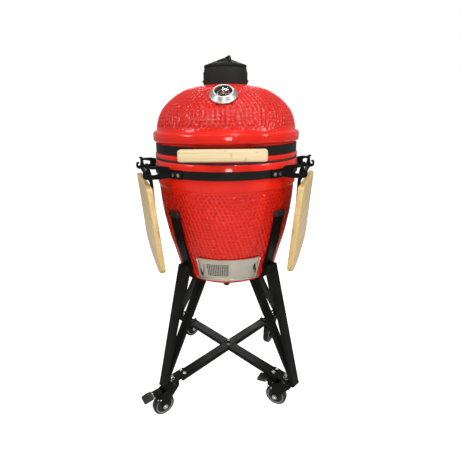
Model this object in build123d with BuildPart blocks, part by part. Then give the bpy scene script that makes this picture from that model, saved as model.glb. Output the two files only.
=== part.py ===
from build123d import *
import math
import os

# Kamado ceramic grill on a four-legged rolling stand.
# Millimetres, +Z up, floor at Z = 0, front of the grill towards -Y.
os.makedirs("parts", exist_ok=True)

# ---------------------------------------------------------------- driving sizes
RIM_Z = 920.0          # underside of the lid's moulded flange above the floor
FLANGE_R = 235.0       # largest radius of the ceramic flange
DOME_R = 224.3         # dome radius just above the flange
LIP_Z = -48.0          # bottom of the lid, relative to RIM_Z
SEAM_Z = -50.0         # plane where the two gaskets meet
BASE_TOP = -52.0       # top of the base, relative to RIM_Z
BASE_BOTTOM = -453.0   # underside of the base
MOUTH_R = 205.0        # inside radius at the mouth
STRAP_T = 3.0          # thickness of the two steel bands
FLUE_R = 50.0          # chimney hole in the dome
HINGE_Y = 268.0        # rear hinge axis
HINGE_Z = -50.0
HANDLE_L = 230.0
LID_YAW = -2.0          # handle and thermometer sit this far round from the draft door
WHEEL_R = 37.5         # 75 mm casters
STEM = 202.5           # caster stem, distance in X and in Y from the axis
TRAIL = 36.0           # caster axle offset from its stem
PLATE_Z = -802.5       # underside of the foot plates
BOARD_W = 275.0        # side shelf, inner edge to outer edge
SHELF_AZ = 71.4        # direction of each shelf's centre line from the front
TILT = 3.8             # the folded shelf leans in by this angle
BRACKET_AZ = 31.5      # each shelf bracket sits this far round from the shelf's centre line
WEB_U = 113.5          # and its web this far along the shelf
PIVOTS = {"left": 270.0, "right": 262.0}     # shelf hinge line, out from the axis
PIVOT_Z = -88.0
THERMO_ELEV = 52.0
CASTERS = {"fl": (-STEM, -STEM, -146.5), "fr": (STEM, -STEM, 152.0),
           "rr": (STEM, STEM, -120.0), "rl": (-STEM, STEM, 40.0)}
CORNERS = {"front_left": (-135.0), "front_right": (-45.0),
           "rear_right": (45.0), "rear_left": (135.0)}


def Z(h):
    return RIM_Z + h


def dome(z, r0=DOME_R, z0=-10.0, h=204.33):
    return r0 * max(0.0, 1 - ((z - z0) / h) ** 3.33) ** (1 / 1.084)


BODY = [(228.0, -131), (227.0, -141), (224.5, -172), (221.1, -203), (217.4, -234), (211.6, -265),
        (206.0, -296), (198.8, -327), (190.3, -358), (182.3, -389), (174.6, -420)]


def body_r(z):
    pts = [(233.0, -96), (231.0, -97)] + BODY + [(164.0, -443), (150.0, -451)]
    for (r0, z0), (r1, z1) in zip(pts, pts[1:]):
        if z1 <= z <= z0:
            return r0 + (r1 - r0) * (z0 - z) / (z0 - z1)
    return pts[-1][0]


def door_r(z):
    # the wall behind the draft door is very nearly a cone
    return 171.3 + (z + 430.0) * (192.7 - 171.3) / 80.0


def radial(deg):
    # vertical plane through the axis: local x = radius, local y = height
    a = math.radians(deg)
    return Plane(origin=(0, 0, 0), x_dir=(math.cos(a), math.sin(a), 0), z_dir=(math.sin(a), -math.cos(a), 0))


def write(piece, name):
    piece.part.label = name
    export_step(piece.part, f"parts/{name}.step")


def p3(deg, r, z):
    a = math.radians(deg)
    return (r * math.cos(a), r * math.sin(a), z)


def spin(x, y, z=0.0):
    # turned about Z by the lid's yaw
    c, s = math.cos(math.radians(LID_YAW)), math.sin(math.radians(LID_YAW))
    return (x * c - y * s, x * s + y * c, z)


# ---------------------------------------------------------------- ceramic lid
t_n = spin(0, -math.cos(math.radians(THERMO_ELEV)), math.sin(math.radians(THERMO_ELEV)))
T_PLANE = Plane(origin=spin(0, -167.6, Z(128.0)), x_dir=spin(1, 0), z_dir=t_n)
with BuildPart() as lid:
    with BuildSketch(Plane.XZ):
        with BuildLine():
            outer = [(dome(z), Z(z)) for z in (33, 46, 62, 80, 100, 115, 130, 145)] + [(128, Z(150.6)), (112, Z(155.6)), (96, Z(159.2)), (84, Z(161.8)), (73, Z(164))]
            inner = [(dome(z, 202.0, -10, 181.0), Z(z)) for z in (150, 138, 125, 108, 90, 65, 40, 0)]
            a1 = Polyline((MOUTH_R, Z(LIP_Z)), (231.0, Z(LIP_Z)), (232.5, Z(LIP_Z + 2)), (232.5, Z(-35)), (226.0, Z(-33)),
                          (226.0, Z(-2)), (231.5, Z(0)), (FLANGE_R, Z(5)), (FLANGE_R, Z(24.5)), (232.6, Z(29)), (227.0, Z(31.5)), outer[0])
            a2 = Spline(*outer)
            a3 = Polyline(outer[-1], (FLUE_R, Z(164)), (FLUE_R, Z(152)), inner[0])
            a4 = Spline(*inner)
            a5 = Line(inner[-1], (MOUTH_R, Z(LIP_Z)))
        make_face()
    revolve(axis=Axis.Z)
    with BuildSketch(T_PLANE.offset(-60)):
        Circle(7.0)
    extrude(amount=80, mode=Mode.SUBTRACT)
write(lid, "lid")

# ---------------------------------------------------------------- ceramic base with the draft window
WIN_A, WIN_B = -112.0, -88.0      # window edges, degrees, front is -90
with BuildPart() as base:
    with BuildSketch(Plane.XZ):
        with BuildLine():
            out = [(r, Z(z)) for r, z in BODY]
            low = [(174.6, Z(-420)), (170.7, Z(-432)), (164.0, Z(-443)), (152.0, Z(-450.5)), (138.0, Z(BASE_BOTTOM))]
            ins = [(MOUTH_R, Z(-110)), (200.5, Z(-172)), (193.0, Z(-234)), (181.5, Z(-296)), (166.0, Z(-358)), (158, Z(-389)), (146.0, Z(-414))]
            b1 = Polyline((MOUTH_R, Z(BASE_TOP)), (231.0, Z(BASE_TOP)), (233.0, Z(BASE_TOP - 2)), (233.0, Z(-96)), (231.0, Z(-97)), out[0])
            b2 = Polyline(*out)
            b3 = Spline(*low)
            b4 = Polyline(low[-1], (0, Z(BASE_BOTTOM)), (0, Z(-425)), (130.0, Z(-425)), ins[-1])
            b5 = Polyline(*reversed(ins))
            b6 = Line(ins[0], (MOUTH_R, Z(BASE_TOP)))
        make_face()
    revolve(axis=Axis.Z)
    with BuildSketch(radial(WIN_A)):
        with BuildLine():
            Polyline((120, Z(-416)), (200, Z(-416)), (200, Z(-369)), (120, Z(-369)), close=True)
        make_face()
    revolve(axis=Axis.Z, revolution_arc=WIN_B - WIN_A, mode=Mode.SUBTRACT)
write(base, "base")

# ---------------------------------------------------------------- woven gaskets on both rims
for name, z0 in (("lid_gasket", SEAM_Z), ("base_gasket", BASE_TOP)):
    with BuildPart() as gasket:
        with BuildSketch(Plane.XY.offset(Z(z0))):
            Circle(230.5)
            Circle(207.0, mode=Mode.SUBTRACT)
        extrude(amount=2.0)
    write(gasket, name)

# ---------------------------------------------------------------- firebox, fire ring and grates
with BuildPart() as firebox:
    with BuildSketch(Plane.XZ):
        with BuildLine():
            Polyline((100, Z(-425)), (118, Z(-425)), (136, Z(-410)), (149, Z(-389)), (157, Z(-358)), (166, Z(-327)), (173, Z(-296)),
                     (179, Z(-265)), (183, Z(-240)), (165, Z(-240)), (161, Z(-265)), (155, Z(-296)), (148, Z(-327)), (141, Z(-348)),
                     (141, Z(-352)), (118, Z(-352)), (118, Z(-362)), (132, Z(-366)), (122, Z(-402)), (100, Z(-418)), close=True)
        make_face()
    revolve(axis=Axis.Z)
    with BuildSketch(radial(-118)):
        with BuildLine():
            Polyline((80, Z(-426)), (190, Z(-426)), (190, Z(-368)), (80, Z(-368)), close=True)
        make_face()
    revolve(axis=Axis.Z, revolution_arc=36, mode=Mode.SUBTRACT)
    # side air holes through the firebox wall
    for k in (30, 90, 150, 210, 330):
        with BuildSketch(Plane(origin=p3(k, 120, Z(-310)), z_dir=p3(k, 1, 0))):
            Circle(9.0)
        extrude(amount=80, mode=Mode.SUBTRACT)
write(firebox, "firebox")

with BuildPart() as fire_ring:
    with BuildSketch(Plane.XZ):
        with BuildLine():
            Polyline((166, Z(-240)), (184, Z(-240)), (187, Z(-225)), (195, Z(-180)), (199, Z(-130)), (199, Z(-80)), (180, Z(-80)),
                     (180, Z(-150)), (176, Z(-195)), (167, Z(-225)), close=True)
        make_face()
    revolve(axis=Axis.Z)
write(fire_ring, "fire_ring")

with BuildPart() as charcoal_grate:
    with BuildSketch(Plane.XY.offset(Z(-352))):
        Circle(136.0)
        with PolarLocations(95, 12):
            SlotOverall(56, 12, mode=Mode.SUBTRACT)
        with PolarLocations(38, 6):
            SlotOverall(36, 11, mode=Mode.SUBTRACT)
        Circle(9, mode=Mode.SUBTRACT)
    extrude(amount=9.0)
write(charcoal_grate, "charcoal_grate")

GRATE_R = 195.0
with BuildPart() as cooking_grate:
    with BuildSketch(Plane.XY.offset(Z(-80))):
        Circle(GRATE_R)
        Circle(GRATE_R - 6, mode=Mode.SUBTRACT)
        for k in (-1, 1):
            with Locations((0, 70.0 * k)):
                Rectangle(364, 6)
    extrude(amount=5.0)
    with BuildSketch(Plane.XY.offset(Z(-76))):
        for k in range(-11, 12):
            x = 16.0 * k
            half = math.sqrt((GRATE_R - 3) ** 2 - x * x)
            with Locations((x, 0)):
                Rectangle(4.5, 2 * half)
    extrude(amount=4.5)
write(cooking_grate, "cooking_grate")

# ---------------------------------------------------------------- steel bands
with BuildPart() as lid_strap:
    with BuildSketch(Plane.XY.offset(Z(-32))):
        Circle(226.0 + STRAP_T)
        Circle(226.0, mode=Mode.SUBTRACT)
    extrude(amount=26.0)
write(lid_strap, "lid_strap")

with BuildPart() as base_strap:
    with BuildSketch(Plane.XY.offset(Z(-95.5))):
        Circle(233.0 + STRAP_T)
        Circle(233.0, mode=Mode.SUBTRACT)
    extrude(amount=24.0)
write(base_strap, "base_strap")
LS, BS = 229.0, 236.0      # outside radii of the two bands

# ---------------------------------------------------------------- rear hinge
EAR_R = 22.0
with BuildPart() as hinge_base_bracket:
    with BuildSketch(Plane.XY.offset(Z(-97))):
        with BuildLine():
            h = math.radians(15)
            Polyline((-BS * math.sin(h), BS * math.cos(h)), (-(BS + 4) * math.sin(h), (BS + 4) * math.cos(h)))
            CenterArc((0, 0), BS + 4, 75, 30)
            Line(((BS + 4) * math.sin(h), (BS + 4) * math.cos(h)), (BS * math.sin(h), BS * math.cos(h)))
            CenterArc((0, 0), BS, 75, 30)
        make_face()
    extrude(amount=27.0)
    for x0 in (-46.0, 41.0):
        with BuildSketch(Plane(origin=(x0, 0, 0), x_dir=(0, 1, 0), z_dir=(1, 0, 0))):
            with BuildLine():
                Polyline((234, Z(-97)), (HINGE_Y + 4, Z(-72)), (HINGE_Y + 4, Z(-46)), (HINGE_Y - 12, Z(-60)), (238, Z(-71)), (234, Z(-71)), close=True)
            make_face()
            with Locations((HINGE_Y, Z(HINGE_Z))):
                Circle(EAR_R)
                Circle(5.0, mode=Mode.SUBTRACT)
        extrude(amount=5.0)
    with BuildSketch(Plane.XY.offset(Z(-120))):
        Circle(BS)
    extrude(amount=80, mode=Mode.SUBTRACT)
write(hinge_base_bracket, "hinge_base_bracket")

with BuildPart() as hinge_lid_bracket:
    with BuildSketch(Plane.XY.offset(Z(-32))):
        with BuildLine():
            h = math.radians(14)
            Polyline((-LS * math.sin(h), LS * math.cos(h)), (-(LS + 4) * math.sin(h), (LS + 4) * math.cos(h)))
            CenterArc((0, 0), LS + 4, 76, 28)
            Line(((LS + 4) * math.sin(h), (LS + 4) * math.cos(h)), (LS * math.sin(h), LS * math.cos(h)))
            CenterArc((0, 0), LS, 76, 28)
        make_face()
    extrude(amount=26.0)
    for x0 in (-40.0, 35.0):
        with BuildSketch(Plane(origin=(x0, 0, 0), x_dir=(0, 1, 0), z_dir=(1, 0, 0))):
            with BuildLine():
                Polyline((228, Z(-32)), (248, Z(-46)), (HINGE_Y - 6, Z(-56)), (HINGE_Y + 12, Z(-38)), (242, Z(-8)), (228, Z(-6)), close=True)
            make_face()
            with Locations((HINGE_Y, Z(HINGE_Z))):
                Circle(16.0)
                Circle(5.05, mode=Mode.SUBTRACT)
        extrude(amount=5.0)
    with BuildSketch(Plane.XY.offset(Z(-60))):
        Circle(LS)
    extrude(amount=80, mode=Mode.SUBTRACT)
write(hinge_lid_bracket, "hinge_lid_bracket")

with BuildPart() as hinge_pin:
    with BuildSketch(Plane(origin=(-52, HINGE_Y, Z(HINGE_Z)), z_dir=(1, 0, 0))):
        Circle(5.0)
    extrude(amount=104)
    for x0 in (-52, 46.05):
        with BuildSketch(Plane(origin=(x0, HINGE_Y, Z(HINGE_Z)), z_dir=(1, 0, 0))):
            Circle(9.0)
        extrude(amount=5.95)
write(hinge_pin, "hinge_pin")

with BuildPart() as hinge_springs:
    for x0 in (-31.0, 5.0):
        with BuildLine() as coil:
            Helix(pitch=4.6, height=27.0, radius=9.0, center=(x0, HINGE_Y, Z(HINGE_Z)), direction=(1, 0, 0))
        with BuildSketch(Plane(origin=coil.line @ 0, z_dir=coil.line % 0)):
            Circle(1.9)
        sweep(path=coil.line, is_frenet=True)
write(hinge_springs, "hinge_springs")

# ---------------------------------------------------------------- lid handle on two bent brackets
with BuildPart() as lid_handle:
    with BuildSketch(Plane(origin=spin(0, -264.0, Z(-21.5)), x_dir=spin(1, 0), z_dir=spin(0, -1))):
        RectangleRounded(HANDLE_L, 31.0, 9.0)
    extrude(amount=26.0)
    fillet(lid_handle.faces().sort_by(Axis.Y)[0].edges(), 6.0)
write(lid_handle, "lid_handle")

with BuildPart() as handle_brackets:
    for s in (-1, 1):
        with BuildSketch(Plane(origin=(0, 0, Z(-28)), x_dir=spin(1, 0), z_dir=(0, 0, 1))):
            with Locations((s * 78.0, -238.0)):
                Rectangle(5.0, 52.0)
            with Locations((s * 70.0, -261.5)):
                Rectangle(21.0, 5.0)
        extrude(amount=20.0)
        a0 = -90 + LID_YAW + s * math.degrees(math.asin(78.0 / LS))
        with BuildSketch(radial(a0 - 4.5)):
            with BuildLine():
                Polyline((LS, Z(-28)), (LS + 4, Z(-28)), (LS + 4, Z(-8)), (LS, Z(-8)), close=True)
            make_face()
        revolve(axis=Axis.Z, revolution_arc=9)
    with BuildSketch(Plane.XY.offset(Z(-40))):
        Circle(LS)
    extrude(amount=50, mode=Mode.SUBTRACT)
write(handle_brackets, "handle_brackets")

# ---------------------------------------------------------------- bolts on the bands
with BuildPart() as lid_band_bolts:
    for deg in (78.0, 102.0):
        with BuildSketch(Plane(origin=p3(deg, LS + 4, Z(-19)), z_dir=p3(deg, 1, 0))):
            RegularPolygon(6.5, 6)
        extrude(amount=5.0)
    for s in (-1, 1):
        with BuildSketch(Plane(origin=spin(s * 68.0, -259.0, Z(-18)), z_dir=spin(0, 1))):
            RegularPolygon(6.0, 6)
        extrude(amount=4.5)
write(lid_band_bolts, "lid_band_bolts")

# ---------------------------------------------------------------- chimney vent
with BuildPart() as vent_housing:
    with BuildSketch(Plane.XZ):
        with BuildLine():
            Polyline((FLUE_R, Z(164)), (69, Z(164)), (69, Z(202)), (66.5, Z(204)), (66.5, Z(211.5)), (65, Z(212.5)), (8.0, Z(212.5)), (8.0, Z(209.5)), (61, Z(209.5)), (61, Z(168)), (FLUE_R, Z(168)), close=True)
        make_face()
    revolve(axis=Axis.Z)
    # three exhaust ports in the top plate
    with BuildSketch(Plane.XY.offset(Z(208.5))):
        with PolarLocations(34, 3, start_angle=30):
            Circle(15.0)
    extrude(amount=6, mode=Mode.SUBTRACT)
    # two screw bosses on the side of the housing
    for deg in (0, 180):
        with BuildSketch(Plane(origin=p3(deg, 67, Z(174)), z_dir=p3(deg, 1, 0))):
            Circle(4.0)
        extrude(amount=6.0)
write(vent_housing, "vent_housing")

with BuildPart() as vent_damper:
    with BuildSketch(Plane.XZ):
        with BuildLine():
            Polyline((0, Z(212.8)), (7.0, Z(212.8)), (7.0, Z(237)), (60.5, Z(217.2)), (60.5, Z(213.1)), (65.6, Z(213.1)), (66.3, Z(220.2)), (10, Z(241.6)), (0, Z(243.3)), close=True)
        make_face()
    revolve(axis=Axis.Z)
    with BuildSketch(radial(-73.4)):
        with BuildLine():
            Polyline((2, Z(239)), (2.5, Z(243.6)), (44, Z(243.8)), (48, Z(241)), (64.6, Z(219)), (64.6, Z(216.6)), (61.5, Z(216.6)), (9, Z(238.4)), close=True)
        make_face()
    extrude(amount=2.5, both=True)
    with BuildSketch(Plane.XY.offset(Z(213.5))):
        with Locations((-9.4, -33.0)):
            Circle(9.0)
    extrude(amount=40, mode=Mode.SUBTRACT)
write(vent_damper, "vent_damper")

# ---------------------------------------------------------------- thermometer
def t_rev(points, label):
    with BuildPart() as turned:
        with BuildSketch(Plane(origin=T_PLANE.origin, x_dir=T_PLANE.x_dir, z_dir=tuple(-c for c in T_PLANE.y_dir))):
            with BuildLine():
                Polyline(*points, close=True)
            make_face()
        revolve(axis=Axis(T_PLANE.origin, T_PLANE.z_dir))
    write(turned, label)


t_rev([(4.0, 0.6), (36, 0.6), (36.4, -1.6), (38.5, -1.6), (38.5, 3), (35, 6), (31.5, 9.5), (29.5, 13.5), (26.5, 14.5), (24, 14.5), (24, 12.6), (26.6, 12.6), (26.6, 2.6), (4.0, 2.6)], "thermometer_bezel")
t_rev([(1.6, 5.0), (26.5, 5.0), (26.5, 6.2), (1.6, 6.2)], "thermometer_dial")
t_rev([(0, 11.0), (26.5, 11.0), (26.5, 12.5), (0, 12.5)], "thermometer_glass")
with BuildPart() as thermometer_needle:
    with BuildSketch(T_PLANE.offset(7.0)):
        Circle(3.2)
        with BuildLine():
            Polyline((-1.3, -7), (1.3, -7), (0.5, 20.5), (-0.5, 20.5), close=True)
        make_face()
    extrude(amount=1.0)
    with BuildSketch(T_PLANE.offset(5.2)):
        Circle(1.55)
    extrude(amount=2.2)
write(thermometer_needle, "thermometer_needle")
t_rev([(0, -78), (2.6, -78), (3.0, -75), (3.0, -34), (6.5, -34), (6.5, 0.5), (3.95, 0.5), (3.95, 4.9), (0, 4.9)], "thermometer_probe")
with BuildPart() as thermometer_nut:
    with BuildSketch(T_PLANE.offset(-31.5)):
        RegularPolygon(12.0, 6)
        Circle(6.5, mode=Mode.SUBTRACT)
    extrude(amount=6.0)
write(thermometer_nut, "thermometer_nut")

# ---------------------------------------------------------------- draft door: frame, perforated screen and sliding plate
def cone_ring(r_in, r_out, z_lo, z_hi):
    # closed section of a strip standing off the conical wall
    return [(door_r(z_lo) + r_in, Z(z_lo)), (door_r(z_lo) + r_out, Z(z_lo)), (door_r(z_hi) + r_out, Z(z_hi)), (door_r(z_hi) + r_in, Z(z_hi))]


# the frame: one C-shaped channel bent round the bowl, with an end block at each side
CHANNEL = [(1.0, -431), (7.6, -431), (7.6, -421), (6.2, -421), (6.2, -424.5), (2.4, -424.5), (2.4, -359), (6.2, -359), (6.2, -363),
           (7.6, -363), (7.6, -349), (1.0, -349)]
END_BLOCK = [(1.4, -430.6), (7.2, -430.6), (7.2, -349.4), (1.4, -349.4)]
# the screen: plate, grid of square holes, then the pull tab with its foot below the plate's edge
SCREEN_STRIPS = [(2.7, 3.9, -424, -360, -27, 3.5, Mode.ADD)]
SCREEN_STRIPS += [(2.0, 4.6, -412.0 + j * 5.6, -408.6 + j * 5.6, -20.0 + i * 1.95, -18.85 + i * 1.95, Mode.SUBTRACT)
                  for i in range(11) for j in range(8)]
SCREEN_STRIPS += [(2.7, 10.5, -420.6, -417.0, -26.5, -24.0, Mode.ADD), (9.0, 10.5, -420.6, -378.0, -26.5, -24.0, Mode.ADD),
                  (9.0, 17.0, -396.0, -378.0, -26.0, -24.6, Mode.ADD)]
DOOR_STRIPS = [(4.4, 5.8, -416.0, -360, 1.0, 29.5, Mode.ADD), (4.4, 14.0, -402.0, -366.0, 25.2, 26.6, Mode.ADD)]

with BuildPart() as draft_frame:
    for outline, a0, a1 in ((CHANNEL, -29.7, 31.2), (END_BLOCK, -29.9, -27.8), (END_BLOCK, 29.9, 31.4)):
        with BuildSketch(radial(-90 + a0)):
            with BuildLine():
                Polyline(*[(door_r(z) + r, Z(z)) for r, z in outline], close=True)
            make_face()
        revolve(axis=Axis.Z, revolution_arc=a1 - a0)
    with BuildSketch(radial(-90 - 23)):
        with BuildLine():
            Polyline(*cone_ring(0.4, 3.2, -421, -364), close=True)
        make_face()
    revolve(axis=Axis.Z, revolution_arc=26, mode=Mode.SUBTRACT)
write(draft_frame, "draft_frame")

with BuildPart() as draft_screen:
    for r_in, r_out, z_lo, z_hi, a0, a1, how in SCREEN_STRIPS:
        with BuildSketch(radial(-90 + a0)):
            with BuildLine():
                Polyline(*cone_ring(r_in, r_out, z_lo, z_hi), close=True)
            make_face()
        revolve(axis=Axis.Z, revolution_arc=a1 - a0, mode=how)
write(draft_screen, "draft_screen")

with BuildPart() as draft_door:
    for r_in, r_out, z_lo, z_hi, a0, a1, how in DOOR_STRIPS:
        with BuildSketch(radial(-90 + a0)):
            with BuildLine():
                Polyline(*cone_ring(r_in, r_out, z_lo, z_hi), close=True)
            make_face()
        revolve(axis=Axis.Z, revolution_arc=a1 - a0, mode=how)
write(draft_door, "draft_door")

with BuildPart() as draft_rivets:
    for a in (-28.7, 30.4):
        for z in (-426.5, -354.0):
            ph = -90 + a
            slope = math.atan((192.7 - 171.3) / 80.0)
            with BuildSketch(Plane(origin=p3(ph, door_r(z) + 7.7, Z(z)), z_dir=(math.cos(math.radians(ph)) * math.cos(slope), math.sin(math.radians(ph)) * math.cos(slope), -math.sin(slope)))):
                Circle(3.6)
            extrude(amount=2.4)
write(draft_rivets, "draft_rivets")

# ---------------------------------------------------------------- stand: four V-shaped legs on the diagonals
KNEE = (199.5, -385.0)
TOE = (312.0, -798.5)
HEEL = (140.0, -461.0)
for name, deg in CORNERS.items():
    with BuildPart() as leg:
        with BuildSketch(radial(deg)):
            # cradle strip that follows the bowl
            with BuildLine():
                zs = (-218, -234, -265, -296, -327, -358, -389, -405)
                Polyline(*([(body_r(z) + 1.0, Z(z)) for z in zs] + [(body_r(z) + 9.0, Z(z)) for z in reversed(zs)]), close=True)
            make_face()
        extrude(amount=20, both=True)
        with BuildSketch(radial(deg)):
            # outer tube, knee to toe
            with BuildLine():
                Polyline((187.5, Z(-385)), (213.0, Z(-385)), (325.5, Z(TOE[1])), (316.0, Z(TOE[1])), close=True)
            make_face()
        extrude(amount=15.0, both=True)
        with BuildSketch(radial(deg)):
            # inner tube, under the bowl to toe
            with BuildLine():
                Polyline((112.5, Z(-456.5)), (133.5, Z(-456.5)), (323.0, Z(TOE[1])), (312.5, Z(TOE[1])), close=True)
            make_face()
        extrude(amount=15.0, both=True)
        with BuildSketch(radial(deg)):
            # gusset under the bowl
            with BuildLine():
                Polyline((185.5, Z(-389)), (204, Z(-389)), (208, Z(-414)), (146, Z(-466)), (122, Z(-464)), (118, Z(-456.5)), (152, Z(-456.5)), (172, Z(-442)), (178.0, Z(-420)), close=True)
            make_face()
        extrude(amount=4.0, both=True)
        # both tubes are hollow
        for quad in ([(193.4, -395), (213.0, -395), (321.6, -794), (318.2, -794)], [(120.9, -466), (135.8, -466), (317.6, -794), (313.0, -794)]):
            with BuildSketch(radial(deg)):
                with BuildLine():
                    Polyline(*[(r, Z(z)) for r, z in quad], close=True)
                make_face()
            extrude(amount=12.8, both=True, mode=Mode.SUBTRACT)
        # foot plate
        a = math.radians(deg)
        with BuildSketch(Plane(origin=(0, 0, Z(PLATE_Z)), x_dir=(math.cos(a), math.sin(a), 0), z_dir=(0, 0, 1))):
            with Locations((272.5, 0)):
                RectangleRounded(107, 40, 6)
            with Locations((STEM * math.sqrt(2), 0)):
                Circle(5.5, mode=Mode.SUBTRACT)
            with Locations((236, 11), (236, -11)):
                Circle(3.6, mode=Mode.SUBTRACT)
        extrude(amount=4.0)
        # room for the bowl
        with BuildSketch(Plane.XZ):
            with BuildLine():
                Polyline(*([(0, Z(-200))] + [(body_r(z) + 1.0, Z(z)) for z in (-200, -203, -234, -265, -296, -327, -358, -389, -420)]
                           + [(172.2, Z(-432)), (165.5, Z(-444)), (153, Z(-452)), (138, Z(-454.5)), (0, Z(-454.5))]), close=True)
            make_face()
        revolve(axis=Axis.Z, mode=Mode.SUBTRACT)
    write(leg, f"leg_{name}")

with BuildPart() as arm_pads:
    for deg in CORNERS.values():
        with BuildSketch(radial(deg)):
            with BuildLine():
                Polyline((body_r(-200) + 1.0, Z(-200)), (body_r(-200) + 14, Z(-200)), (body_r(-217.5) + 14, Z(-217.5)), (body_r(-217.5) + 1.4, Z(-217.5)), close=True)
            make_face()
        extrude(amount=21, both=True)
    with BuildSketch(Plane.XZ):
        with BuildLine():
            Polyline((0, Z(-190)), (body_r(-190) + 1.0, Z(-190)), (body_r(-203) + 1.0, Z(-203)), (body_r(-234) + 1.0, Z(-234)), (0, Z(-234)), close=True)
        make_face()
    revolve(axis=Axis.Z, mode=Mode.SUBTRACT)
write(arm_pads, "arm_pads")

# crossed brace bars with a half lap in the middle
for name, deg, cut in (("brace_upper", 45.0, -817.6), ("brace_lower", 135.0, -810.0)):
    a = math.radians(deg)
    with BuildPart() as bar:
        with BuildSketch(Plane(origin=(0, 0, Z(PLATE_Z - 15)), x_dir=(math.cos(a), math.sin(a), 0), z_dir=(0, 0, 1))):
            Rectangle(500, 38)
            with Locations((236, 11), (236, -11), (-236, 11), (-236, -11)):
                Circle(3.6, mode=Mode.SUBTRACT)
        extrude(amount=15)
        with BuildSketch(Plane(origin=(0, 0, Z(cut)), x_dir=(math.cos(a), math.sin(a), 0), z_dir=(0, 0, 1))):
            Rectangle(38.2, 39)
        extrude(amount=7.6 + (0.1 if name == "brace_upper" else 0.0), mode=Mode.SUBTRACT)
        with BuildSketch(Plane.XY.offset(Z(-830))):
            with Locations((0, 13), (0, -13)):
                Circle(3.6)
        extrude(amount=40, mode=Mode.SUBTRACT)
    write(bar, name)

with BuildPart() as brace_bolts:
    with BuildSketch(Plane.XY.offset(Z(-821.0))):
        with Locations((0, 13), (0, -13)):
            Circle(3.5)
    extrude(amount=20)
    for z0, t in ((-802.5, 4.5), (-822.0, 4.5)):
        with BuildSketch(Plane.XY.offset(Z(z0))):
            with Locations((0, 13), (0, -13)):
                RegularPolygon(7.0, 6)
        extrude(amount=t)
write(brace_bolts, "brace_bolts")

with BuildPart() as foot_bolts:
    for deg in CORNERS.values():
        a = math.radians(deg)
        pl = Plane(origin=(0, 0, Z(-818)), x_dir=(math.cos(a), math.sin(a), 0), z_dir=(0, 0, 1))
        with BuildSketch(pl):
            with Locations((236, 11), (236, -11)):
                Circle(3.5)
        extrude(amount=20)
        with BuildSketch(pl.offset(19.5)):
            with Locations((236, 11), (236, -11)):
                Circle(6.2)
        extrude(amount=4.0)
write(foot_bolts, "foot_bolts")

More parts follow.
